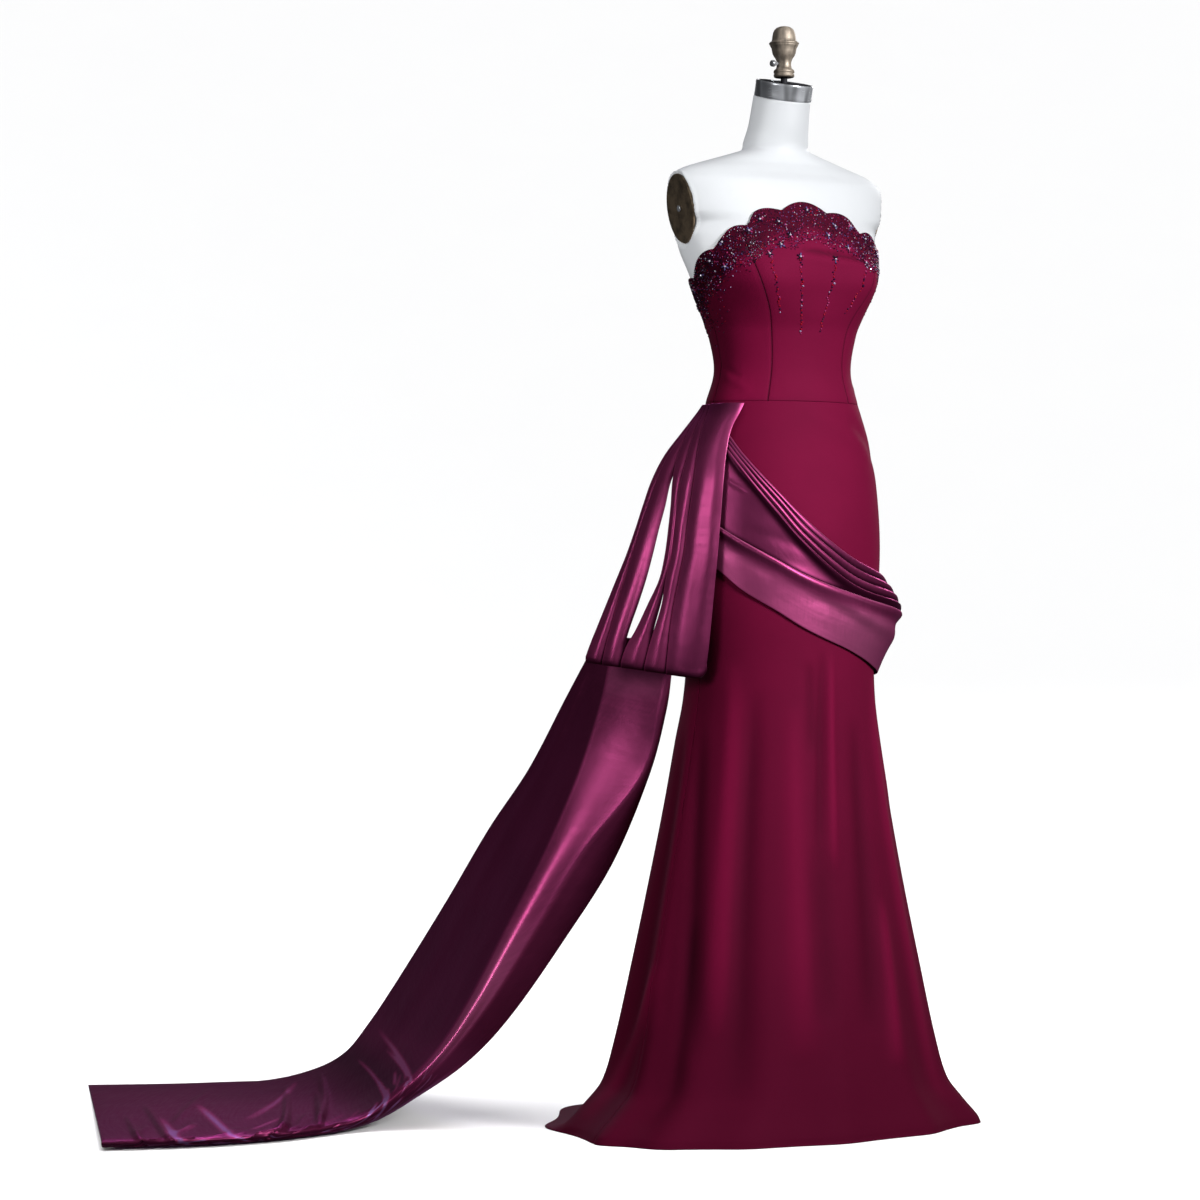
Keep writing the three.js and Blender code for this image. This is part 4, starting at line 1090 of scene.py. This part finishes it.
def through_lines(corner, u):
    """Across the four lines of the train at u, for every row at once: a cubic, drawn partly
    towards straight lines between them."""
    before, after = neighbours(len(TRAIN_LINES))
    slope = (corner[..., after] - corner[..., before]) / (TRAIN_LINES[after] - TRAIN_LINES[before])
    held = np.clip(u, 0, 1)
    i = np.searchsorted(TRAIN_LINES[1:-1], held, side="left")
    span = TRAIN_LINES[i + 1] - TRAIN_LINES[i]
    t = (held - TRAIN_LINES[i]) / span
    first, second, first_slope, second_slope = (
        np.take_along_axis(values, k[..., None], -1)[..., 0]
        for values in (corner, slope) for k in (i, i + 1))
    return lerp(cubic(first, second, first_slope, second_slope, span, t),
                lerp(first, second, t), 0.6 * step(0, 0.1, u) * step(1, 0.95, u))


def train_face(u, v):
    """A smooth sheet through the four lines, with lengthwise ripples and floor crinkles."""
    u, v = np.broadcast_arrays(u, v)
    out, back, z = (through_lines(np.stack([smooth(TRAIN_ROWS, TRAIN[:, line, axis], v)
                                            for line in range(4)], -1), u)
                    for axis in range(3))
    lift = ripples(u, v, TRAIN_RIPPLES, 0.12)
    height = z + crinkles(u, v) + 0.4 * lift * step(0.7, 0.9, v)
    return fall_point(out, back - lift * step(0.9, 0.7, v), np.maximum(height, 0))


def train_painted_light(u, v, right, left, over, low):
    """Painted shade on the far side, under the sash and on the floor, a painted highlight along
    the turned near edge and on the crinkles, and patches of painted highlight and shade down the
    middle of the fall."""
    v = v + TRAIN_SPACING * np.sin(np.pi * v)
    # Painted shade: far, near, shadow and lying. Painted highlights: the turned near edge and the
    # crinkles; the patches down the fall are painted highlight and painted shade.
    far = 1.15 * 0.6 * step(0.505, 0.485, u) * step(0.9, 0.7, v)
    near = 0.4 * step(0.755, 0.79, u) * step(0.2, 0.32, v) * step(0.8, 0.72, v)
    shadow = 0.7 * step(46, 10, over)
    turned_edge_highlight = 0.4 * step(14, 11, left) * step(0.72, 0.8, v) + 0.5 * bump(left, 1.5)
    painted_patches = (0.36 * bump(v - 0.68, 0.14) - 0.62 * bump(v - 0.38, 0.15)
               + 0.32 * bump(v - 0.19, 0.08))
    fall = step(0.5, 0.515, u) * step(0.8, 0.7, u) * painted_patches
    lying = 0.72 * step(0.74, 0.82, v) * step(11, 15, left)
    crinkle = 1.35 * np.clip(crinkles(u, v) / 3 - 0.3, 0, 1) * step(11, 15, left)
    return np.clip(turned_edge_highlight + fall + crinkle - far - near - shadow - lying, -1, 1)


class GOWN_OT_sash(bpy.types.Operator):
    """Adds the five satin pleats of the sash at the wearer's right hip"""
    bl_idname = "gown.add_sash"
    bl_label = "Sash"

    def execute(self, context):
        wall = context.scene.gown_sizes.satin_wall / MM
        for *pleat, area in SASH_PIECES:
            piece = sash_pleat(*pleat, wall)
        return {"FINISHED"}


class GOWN_OT_train(bpy.types.Operator):
    """Adds the long satin train that falls from the sash to the floor"""
    bl_idname = "gown.add_train"
    bl_label = "Train"

    def execute(self, context):
        wall = context.scene.gown_sizes.satin_wall / MM
        down = edged(290, TRAIN_LONG, wall)
        down = down + TRAIN_SPACING * np.sin(np.pi * down) * step(0, 0.01, down)
        piece = cloth_wall("train", "satin", train_face, edged(124, 500, wall), down, wall,
                           train_painted_light)
        return {"FINISHED"}


# ---------------------------------------------------------------- beading
def on_gown(turn, z, proud):
    """Places and frames on the bodice: columns of each frame are round, up and out."""
    wall = bpy.context.scene.gown_sizes.crepe_wall / MM
    outward = wall + proud + creases(turn, z, BODICE_CREASES)
    here = body(turn, z, outward)
    around = body(turn + 0.2, z, outward) - body(turn - 0.2, z, outward)
    up = body(turn, z + 0.5, outward) - body(turn, z - 0.5, outward)
    around = around / np.linalg.norm(around, axis=-1, keepdims=True)
    out = np.cross(around, up)
    out = out / np.linalg.norm(out, axis=-1, keepdims=True)
    up = np.cross(out, around)
    return here, np.stack([around, up, out], -1)


BEAD_TINTS = np.array([(0.01, 0.003, 0.015), (0.03, 0.004, 0.03), (0.35, 0.26, 0.42),
                       (0.32, 0.035, 0.13), (0.3, 0.005, 0.02), (0.1, 0.07, 0.2)])
BEAD_SHARES = [0.42, 0.3, 0.02, 0.1, 0.08, 0.08]
BAND_DEPTH = 58         # of the beaded band under the scalloped edge
PETALS, PETAL_REACH = 5, 3.8
CLEAR_BEADS = 330
ZIP_TEETH, TOOTH_PITCH = 75, 2.0
# Flowers by turn and height, then those further round by turn and distance under the edge.
FLOWERS = [(-2.5, 1369.5), (-32.5, 1352.5), (-22, 1349.5), (-17.5, 1329.5), (-24, 1314.5),
           (-42, 1335), (13.5, 1348), (7, 1332), (19.5, 1314.5), (26, 1350), (39.5, 1333),
           (-61, 1318), (-71.5, 1290.5), (-60, 1281.5), (-82, 1270.5), (-31.5, 1300),
           (-13.5, 1297), (9, 1296), (32.5, 1295)]
FLOWERS_ROUND = [(56, 20), (66, 36), (82, 18), (96, 34), (114, 18), (130, 32), (148, 16), (164, 30),
                 (180, 14), (-100, 18), (-114, 34), (-132, 18), (-150, 32), (-166, 16)]
# Strands: from turn and height to turn and height.
STRANDS = [(-31.5, 1300, -27, 1216), (-13.5, 1297, -11, 1184), (9, 1296, 5, 1185),
           (32.5, 1295, 23, 1212)]


class GOWN_OT_beading(bpy.types.Operator):
    """Sews the beads, bead flowers and bead strands onto the bodice"""
    bl_idname = "gown.add_beading"
    bl_label = "Beading"

    def execute(self, context):
        sizes = context.scene.gown_sizes
        rng = np.random.default_rng(11)
        small = sizes.bead_size / MM / 2
        unit, faces = faceted_ball(5, 2)

        # Beads are scattered over the top band, and lower down at the wearer's sides.
        count = sizes.bead_count
        turn = rng.uniform(-180, 180, count)
        drop = 2.5 + np.where(rng.random(count) < 0.78,
                              rng.uniform(0, 1, count) ** 1.05 * BAND_DEPTH,
                              40 + rng.exponential(22, count))
        side = bump(np.abs(turn) - 80, 26)
        keep = drop < 62 + 55 * side
        turn, drop = turn[keep], drop[keep]
        z = top_edge_z(turn) - drop
        kind = rng.choice(len(BEAD_TINTS), len(turn), p=BEAD_SHARES)
        tint = np.clip(BEAD_TINTS[kind] * rng.uniform(0.7, 1.4, (len(turn), 1)), 0, 1)
        size = small * rng.uniform(0.65, 1.15, (len(turn), 1)) * np.array([[1, 1, 0.8]])
        self.sew("beads_scattered", unit, faces, turn, z, size, tint, "dark bead", small * 0.5)

        # The scalloped edge is bound with a close row of beads.
        turn = np.arange(-180, 180, 1.1)
        tint = BEAD_TINTS[rng.choice([0, 1, 3, 4], len(turn), p=[0.3, 0.3, 0.25, 0.15])]
        size = np.full((len(turn), 3), small * 0.9)
        self.sew("beads_edge", unit, faces, turn, top_edge_z(turn) - 1.4, size, tint,
                 "dark bead", small * 0.4)

        # Flowers: five petals round a clear heart.
        at = np.array(FLOWERS + [(turn, float(top_edge_z(np.array(float(turn)))) - drop)
                                 for turn, drop in FLOWERS_ROUND])
        angle = np.arange(PETALS) * 2 * np.pi / PETALS + rng.uniform(0, 1, (len(at), 1))
        heart_z = np.minimum(at[:, 1], top_edge_z(at[:, 0]) - 5)
        here, axes = on_gown(at[:, 0], heart_z, 1.2)
        centre = np.repeat(here, PETALS, 0)
        axes = np.repeat(axes, PETALS, 0)
        angle = angle.ravel()
        along = axes[:, :, 0] * np.cos(angle)[:, None] + axes[:, :, 1] * np.sin(angle)[:, None]
        out = axes[:, :, 2]
        frames = np.stack([along, np.cross(out, along), out], -1)
        tint = BEAD_TINTS[rng.choice([0, 1, 5, 3], len(angle), p=[0.35, 0.3, 0.2, 0.15])]
        petals = scatter("bead_petals", unit, faces, centre + along * PETAL_REACH, frames,
                         np.tile([[3.0, 1.4, 1.1]], (len(angle), 1)), tint)
        hand_over(petals, "dark bead", "crepe")
        self.sew("bead_hearts", unit, faces, at[:, 0], heart_z, np.full((len(at), 3), 1.8),
                 np.tile([[0.8, 0.72, 0.85]], (len(at), 1)), "clear bead", 1.6)

        # Clear drops sparkle between the dark beads.
        each = (CLEAR_BEADS, 1)
        turn = rng.uniform(-180, 180, CLEAR_BEADS)
        z = top_edge_z(turn) - 3 - rng.uniform(0, 1, CLEAR_BEADS) ** 1.2 * BAND_DEPTH
        tint = np.clip(np.array([[0.75, 0.68, 0.8]]) * rng.uniform(0.7, 1.2, each), 0, 1)
        size = small * rng.uniform(0.7, 1.25, each) * np.ones((1, 3))
        self.sew("beads_clear", unit, faces, turn, z, size, tint, "clear bead", small * 0.6)

        # Strands of beads run down from the band, each with small knots.
        turns, heights, widths = [], [], []
        for from_turn, from_z, to_turn, to_z in STRANDS:
            along = np.cumsum(rng.uniform(2.2, 4.6, int((from_z - to_z) / 3.4)))
            turns.append(lerp(from_turn, to_turn, along / (from_z - to_z))
                         + 0.4 * np.sin(along * 0.21) + rng.normal(0, 0.4, len(along)))
            heights.append(from_z - along)
            knot = (along % 31 < 6) | (along < 5)
            widths.append(small * np.where(knot, 2.1, 1.6) * rng.uniform(0.7, 1.2, len(along)))
        turn, z, width = map(np.concatenate, (turns, heights, widths))
        tint = BEAD_TINTS[rng.choice([1, 2, 3, 4], len(turn), p=[0.3, 0.05, 0.2, 0.45])]
        self.sew("bead_strands", unit, faces, turn, z, width[:, None] * np.ones((1, 3)), tint,
                 "dark bead", small * 0.5)
        return {"FINISHED"}

    def sew(self, name, unit, faces, turn, z, size, tint, finish, proud):
        """Scatters beads at turns and heights, standing proud of the crepe."""
        here, axes = on_gown(turn, z, proud)
        piece = scatter(name, unit, faces, here, axes, size, tint)
        hand_over(piece, finish, "crepe")


class GOWN_OT_closure(bpy.types.Operator):
    """Adds the teeth and the pull of the centre back zip"""
    bl_idname = "gown.add_closure"
    bl_label = "Back closure"

    def execute(self, context):
        wall = context.scene.gown_sizes.crepe_wall / MM
        z = float(top_edge_z(np.array(180.0))) - 14
        here, axes = on_gown(np.array([180.0]), np.array([z]), 1.0)
        unit, faces = faceted_ball(12, 7)
        pull = scatter("zip_pull", unit, faces, here - axes[:, :, 1] * 7, axes,
                       np.array([[2.2, 7.5, 0.9]]), np.array([[0.3, 0.02, 0.08]]), True)
        hand_over(pull, "steel", "steel")
        along = np.arange(ZIP_TEETH) * TOOTH_PITCH
        here, axes = on_gown(np.full(ZIP_TEETH, 180.0), z - 8 - along, -wall + 1.3)
        teeth = scatter("zip_teeth", *faceted_ball(6, 3), here, axes,
                        np.tile([[1.1, 0.75, 0.7]], (ZIP_TEETH, 1)),
                        np.tile([[0.2, 0.01, 0.04]], (ZIP_TEETH, 1)))
        hand_over(teeth, "thread", "crepe")
        return {"FINISHED"}


# ---------------------------------------------------------------- dress form
class GOWN_OT_form(bpy.types.Operator):
    """Adds the smooth cover of the dress form"""
    bl_idname = "gown.add_form"
    bl_label = "Form cover"

    def execute(self, context):
        turn = np.linspace(0, 360, 240, endpoint=False)[:, None]
        level = np.concatenate([
            [FORM_BOTTOM_Z, 802, 806], np.linspace(820, 1240, 22), np.linspace(1252, 1328, 20),
            np.linspace(1330, 1450, 61), np.linspace(1453, FORM_TOP_Z, 36)])[None]
        grid = self.cut_armholes(body(turn, level, -FIT_GAP - 6 * bump(level - FORM_BOTTOM_Z, 3)),
                                 level)
        tilt = step(1450, FORM_TOP_Z, level) * math.tan(math.radians(NECK_TILT))
        lift = (NECK_TOP_Z - SEAM_GAP - FORM_TOP_Z) * step(1500, FORM_TOP_Z, level)
        grid[..., 2] = level + lift + grid[..., 1] * tilt
        points = np.concatenate([grid.reshape(-1, 3), grid[:, :1].mean(0), grid[:, -1:].mean(0)])
        index = np.arange(len(points) - 2).reshape(grid.shape[:2])
        low, high = len(points) - 2, len(points) - 1
        bottom, top = index[:, 0].tolist(), index[:, -1].tolist()
        caps = [(low, b, a) for a, b in zip(bottom, bottom[1:] + bottom[:1])]
        caps += [(high, a, b) for a, b in zip(top, top[1:] + top[:1])]
        piece = build_mesh("form_torso_cover", points, grid_quads(index, closed_round=True),
                           caps=caps)
        hand_over(piece, "shell", "shell", "form_torso")
        bpy.data.collections["form_only"].objects.link(piece)
        return {"FINISHED"}

    def cut_armholes(self, grid, level):
        """Holds the sides in to a leaning plane at each armhole, flat - s log(1 + exp((flat -
        wide) / s)), with a soft rim round the oval of the plate."""
        reach = np.hypot((grid[..., 1] - ARM_Y) / ARM_DEPTH, (level - ARM_Z) / ARM_HEIGHT)
        flat = ARM_X + ARM_LEAN * (level - ARM_Z) + 7 * step(1.04, 1.16, reach)
        wide = np.abs(grid[..., 0])
        held = flat - ARM_SOFT * np.log1p(np.exp(np.clip((flat - wide) / ARM_SOFT, -30, 30)))
        above = level > ARM_CUT_Z
        cut = np.where(above, np.minimum(held, wide), wide)
        rim = 4.4 * bump(reach - 1.075, 0.045) * step(-9, -5, wide - flat) * above
        grid[..., 0] = np.sign(grid[..., 0]) * np.maximum(cut + rim, 0)
        return grid


FINIAL_PROFILE = [
    (0, 1576), (13.6, 1576), (15, 1576.6), (15.7, 1578.4), (15.6, 1580.4), (14.9, 1581.4),
    (14.9, 1582.4), (15.7, 1583.4), (15.7, 1585.6), (14.6, 1587.4), (12.4, 1589), (11.4, 1591.4),
    (10.9, 1595.6), (11, 1599.6), (12, 1602.4), (13, 1604.6), (15.2, 1607.6), (17, 1611),
    (18.1, 1615.4), (18.9, 1620), (20.4, 1622.6), (21.4, 1624.2), (21, 1625.2), (22.4, 1626.2),
    (22.6, 1627.6), (21.4, 1628.8), (19.6, 1629.8), (18.6, 1631), (18, 1634), (17.5, 1638),
    (16.6, 1643), (15.4, 1646), (13.8, 1648.4), (11, 1650.6), (8, 1652), (4, 1652.8), (0, 1653)]


class GOWN_OT_neck(bpy.types.Operator):
    """Adds the neck ring, the cap plate, the turned finial and its thumbscrew"""
    bl_idname = "gown.add_neck"
    bl_label = "Neck cap and finial"

    def execute(self, context):
        place = (0, 0, NECK_TOP_Z)
        ring = turned("neck_ring_band", [
            (40, 0), (43, 0), (43.3, 3), (43, 6), (43, 19), (43.3, 21), (42.8, 24), (40.2, 24),
            (40, 0)], 96, place, NECK_TILT, 0.5)
        hand_over(ring, "steel", "steel", "neck_ring")
        plate = turned("neck_plate_cap", [
            (8, 0), (39.6, 0), (39.6, 22.8), (38.6, 23.2), (36, 22.6), (15, 22.6), (14, 23.2),
            (8, 23.2), (8, 0)], 72, place, NECK_TILT, 0.3)
        hand_over(plate, "black_plate", "black_plate", "neck_plate")
        finial = turned("finial_knob", FINIAL_PROFILE, 64, (0, FINIAL_Y, 0))
        hand_over(finial, "bronze", "bronze", "finial")
        screw = turned("thumbscrew_knob", [(0, 0), (2.6, 0), (2.6, 4), (4.6, 5), (5, 6.5), (5, 9.5),
                                           (4.2, 11), (0, 11)], 24)
        move_points(screw, lambda at: np.stack([
            -THUMBSCREW_OUT - at[:, 2], FINIAL_Y + at[:, 1], THUMBSCREW_Z + at[:, 0]], -1))
        hand_over(screw, "steel", "bronze", "thumbscrew")
        return {"FINISHED"}


class GOWN_OT_arm_plates(bpy.types.Operator):
    """Adds the oval bronze plates that close the armholes, and their screws"""
    bl_idname = "gown.add_arm_plates"
    bl_label = "Arm plates"

    def execute(self, context):
        for side, hand in ((-1, "right"), (1, "left")):
            disc = turned(f"arm_plate_{hand}_oval", [
                (0, 0), (0.985, 0), (1, 0.8), (1, 2.6), (0.985, 3.5), (0.96, 3.9), (0.9, 4.0),
                (0.3, 4.0), (0.12, 3.9), (0, 3.9)], 96)
            self.stand(disc, side, SEAM_GAP, (ARM_HEIGHT, ARM_DEPTH, 1))
            hand_over(disc, "arm bronze", "bronze", f"arm_plate_{hand}")
            head = turned(f"arm_screw_{hand}_head", [
                (0, 0), (4.6, 0), (5, 0.6), (4.6, 1.9), (3.2, 2.7), (1.2, 3), (0, 3)], 32)
            self.stand(head, side, 2 * SEAM_GAP + ARM_WALL, (1, 1, 1))
            hand_over(head, "steel", "steel", f"arm_screw_{hand}")
        return {"FINISHED"}

    def stand(self, piece, side, lift, size):
        """Turns a disc's axis out through the armhole and sets it in place."""
        lean = math.atan(ARM_LEAN)

        def placed(points):
            up, aside, out = (points * np.array(size)).T
            out = out + lift
            return np.stack([side * (ARM_X + out * math.cos(lean) + up * math.sin(lean)),
                             ARM_Y + aside, ARM_Z + up * math.cos(lean) - out * math.sin(lean)],
                            -1)
        move_points(piece, placed)


class GOWN_OT_stand(bpy.types.Operator):
    """Gives the pole and base their steel finish and the finial stem the black plate's finish"""
    bl_idname = "gown.finish_stand"
    bl_label = "Stand finish"

    def execute(self, context):
        for name in ("pole", "base", "finial_stem"):
            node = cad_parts[name]
            if not node.material_slots:
                node.data.materials.append(finish_of("steel"))
            finish = "black_plate" if name == "finial_stem" else "steel"
            node.material_slots[0].material = finish_of(finish)
        return {"FINISHED"}


# ---------------------------------------------------------------- stage
# The floor in metres: flat radius, radius of the bend, outer radius and its height.
FLOOR_FLAT, FLOOR_BEND, FLOOR_REACH, FLOOR_RISE = 7, 3, 14, 4.2
CAMERA_PLACE, CAMERA_TILT = (-3.029, -4.602), 90.333


class GOWN_OT_stage(bpy.types.Operator):
    """Adds the pale floor, the soft lights and the camera"""
    bl_idname = "gown.add_stage"
    bl_label = "Stage"

    def execute(self, context):
        stage = context.scene.gown_stage
        bend = np.radians(np.arange(0, 36, 5))
        radius = np.concatenate([[0], FLOOR_FLAT + FLOOR_BEND * np.sin(bend), [FLOOR_REACH]]) / MM
        height = np.concatenate([[0], FLOOR_BEND * (1 - np.cos(bend)), [FLOOR_RISE]]) / MM
        floor = build_mesh("floor", *carried_round(np.stack([radius, height], -1), 96))
        made = Finish("pale floor")
        grain = made.noise(made.place(), 3, 2)
        floor.data.materials.append(made.surface({
            "Base Color": made.mix(made.span(grain, 0.3, 0.7), (0.81, 0.81, 0.812),
                                   (0.815, 0.815, 0.815)),
            "Roughness": 0.85}))
        floor.visible_diffuse = False
        floor.visible_glossy = False
        area_light("key", (1.1, -3.6, 2.5), (0, 0, 1.25), 1.3, stage.key_power, 70)
        area_light("fill", (-4.3, -1.7, 1.7), (-0.5, 0.1, 0.35), 1.8, 4.5, 34)
        area_light("rim_left", (3.2, 2.2, 2.6), (0, 0, 0.9), 1.2, 30)
        glint = area_light("train_glint", (0.75, 3.04, 3.2), (-0.9, -0.2, 0), 0.5, 1.6, 34)
        glint.data.color = (0.78, 0.72, 1)
        form_fill = area_light("form_fill", (-3.9, -0.9, 1.9), (0, 0, 1.45), 2.2, 19, 60)
        form_only = bpy.data.collections.new("form_only")
        form_fill.light_linking.receiver_collection = form_only
        backdrop = bpy.data.collections.new("backdrop")
        backdrop.objects.link(floor)
        for name, power, angle, only in (("floor_light", 3.75, 50, backdrop),
                                         ("top", 0.45, 60, None)):
            lamp = bpy.data.objects.new(name, bpy.data.lights.new(name, "SUN"))
            lamp.data.energy = power
            lamp.data.angle = math.radians(angle)
            lamp.light_linking.receiver_collection = only
            context.scene.collection.objects.link(lamp)
        world = bpy.data.worlds.new("studio")
        world.use_nodes = True
        ground = world.node_tree.nodes["Background"]
        ground.inputs["Color"].default_value = (0.93, 0.95, 1, 1)
        ground.inputs["Strength"].default_value = 0.09
        context.scene.world = world
        data = bpy.data.cameras.new("camera")
        data.lens = stage.lens
        data.sensor_width = 36
        camera = bpy.data.objects.new("camera", data)
        camera.location = (*CAMERA_PLACE, stage.height)
        camera.rotation_euler = (math.radians(CAMERA_TILT), 0, math.radians(-FALL_TURN))
        context.scene.collection.objects.link(camera)
        context.scene.camera = camera
        context.scene.view_settings.view_transform = "Standard"
        return {"FINISHED"}


def area_light(name, place, target, size, power, spread=180):
    """A round soft light at a place, aimed at a target; a small spread keeps it off the rest."""
    data = bpy.data.lights.new(name, "AREA")
    data.spread = math.radians(spread)
    data.shape = "DISK"
    data.size = size
    data.energy = power
    lamp = bpy.data.objects.new(name, data)
    lamp.visible_camera = False
    lamp.location = place
    aim = np.array(target, float) - np.array(place, float)
    lamp.rotation_euler = (math.atan2(math.hypot(aim[0], aim[1]), -aim[2]), 0,
                           math.atan2(aim[1], aim[0]) - math.pi / 2)
    bpy.context.scene.collection.objects.link(lamp)
    return lamp


# ---------------------------------------------------------------- panel and registration
OPERATORS = (GOWN_OT_stage, GOWN_OT_form, GOWN_OT_neck, GOWN_OT_arm_plates, GOWN_OT_stand,
             GOWN_OT_bodice, GOWN_OT_skirt, GOWN_OT_drape, GOWN_OT_sash, GOWN_OT_train,
             GOWN_OT_beading, GOWN_OT_closure)


class GOWN_PT_panel(bpy.types.Panel):
    """Lists the gown's pieces, sizes and colours"""
    bl_idname = "GOWN_PT_panel"
    bl_label = "Evening Gown"
    bl_space_type = "VIEW_3D"
    bl_region_type = "UI"
    bl_category = "Gown"

    def draw(self, context):
        layout = self.layout
        for group in (context.scene.gown_sizes, context.scene.gown_colours,
                      context.scene.gown_stage):
            box = layout.box()
            for name in group.__annotations__:
                box.prop(group, name)
        for operator in OPERATORS:
            layout.operator(operator.bl_idname)


CLASSES = (GownSizes, GownColours, GownStage, *OPERATORS, GOWN_PT_panel)


def register():
    for item in CLASSES:
        bpy.utils.register_class(item)
    bpy.types.Scene.gown_sizes = PointerProperty(type=GownSizes)
    bpy.types.Scene.gown_colours = PointerProperty(type=GownColours)
    bpy.types.Scene.gown_stage = PointerProperty(type=GownStage)


def unregister():
    del bpy.types.Scene.gown_stage
    del bpy.types.Scene.gown_colours
    del bpy.types.Scene.gown_sizes
    for item in reversed(CLASSES):
        bpy.utils.unregister_class(item)


def main():
    register()
    for operator in OPERATORS:
        group, name = operator.bl_idname.split(".")
        getattr(getattr(bpy.ops, group), name)()


if __name__ == "__main__":
    main()
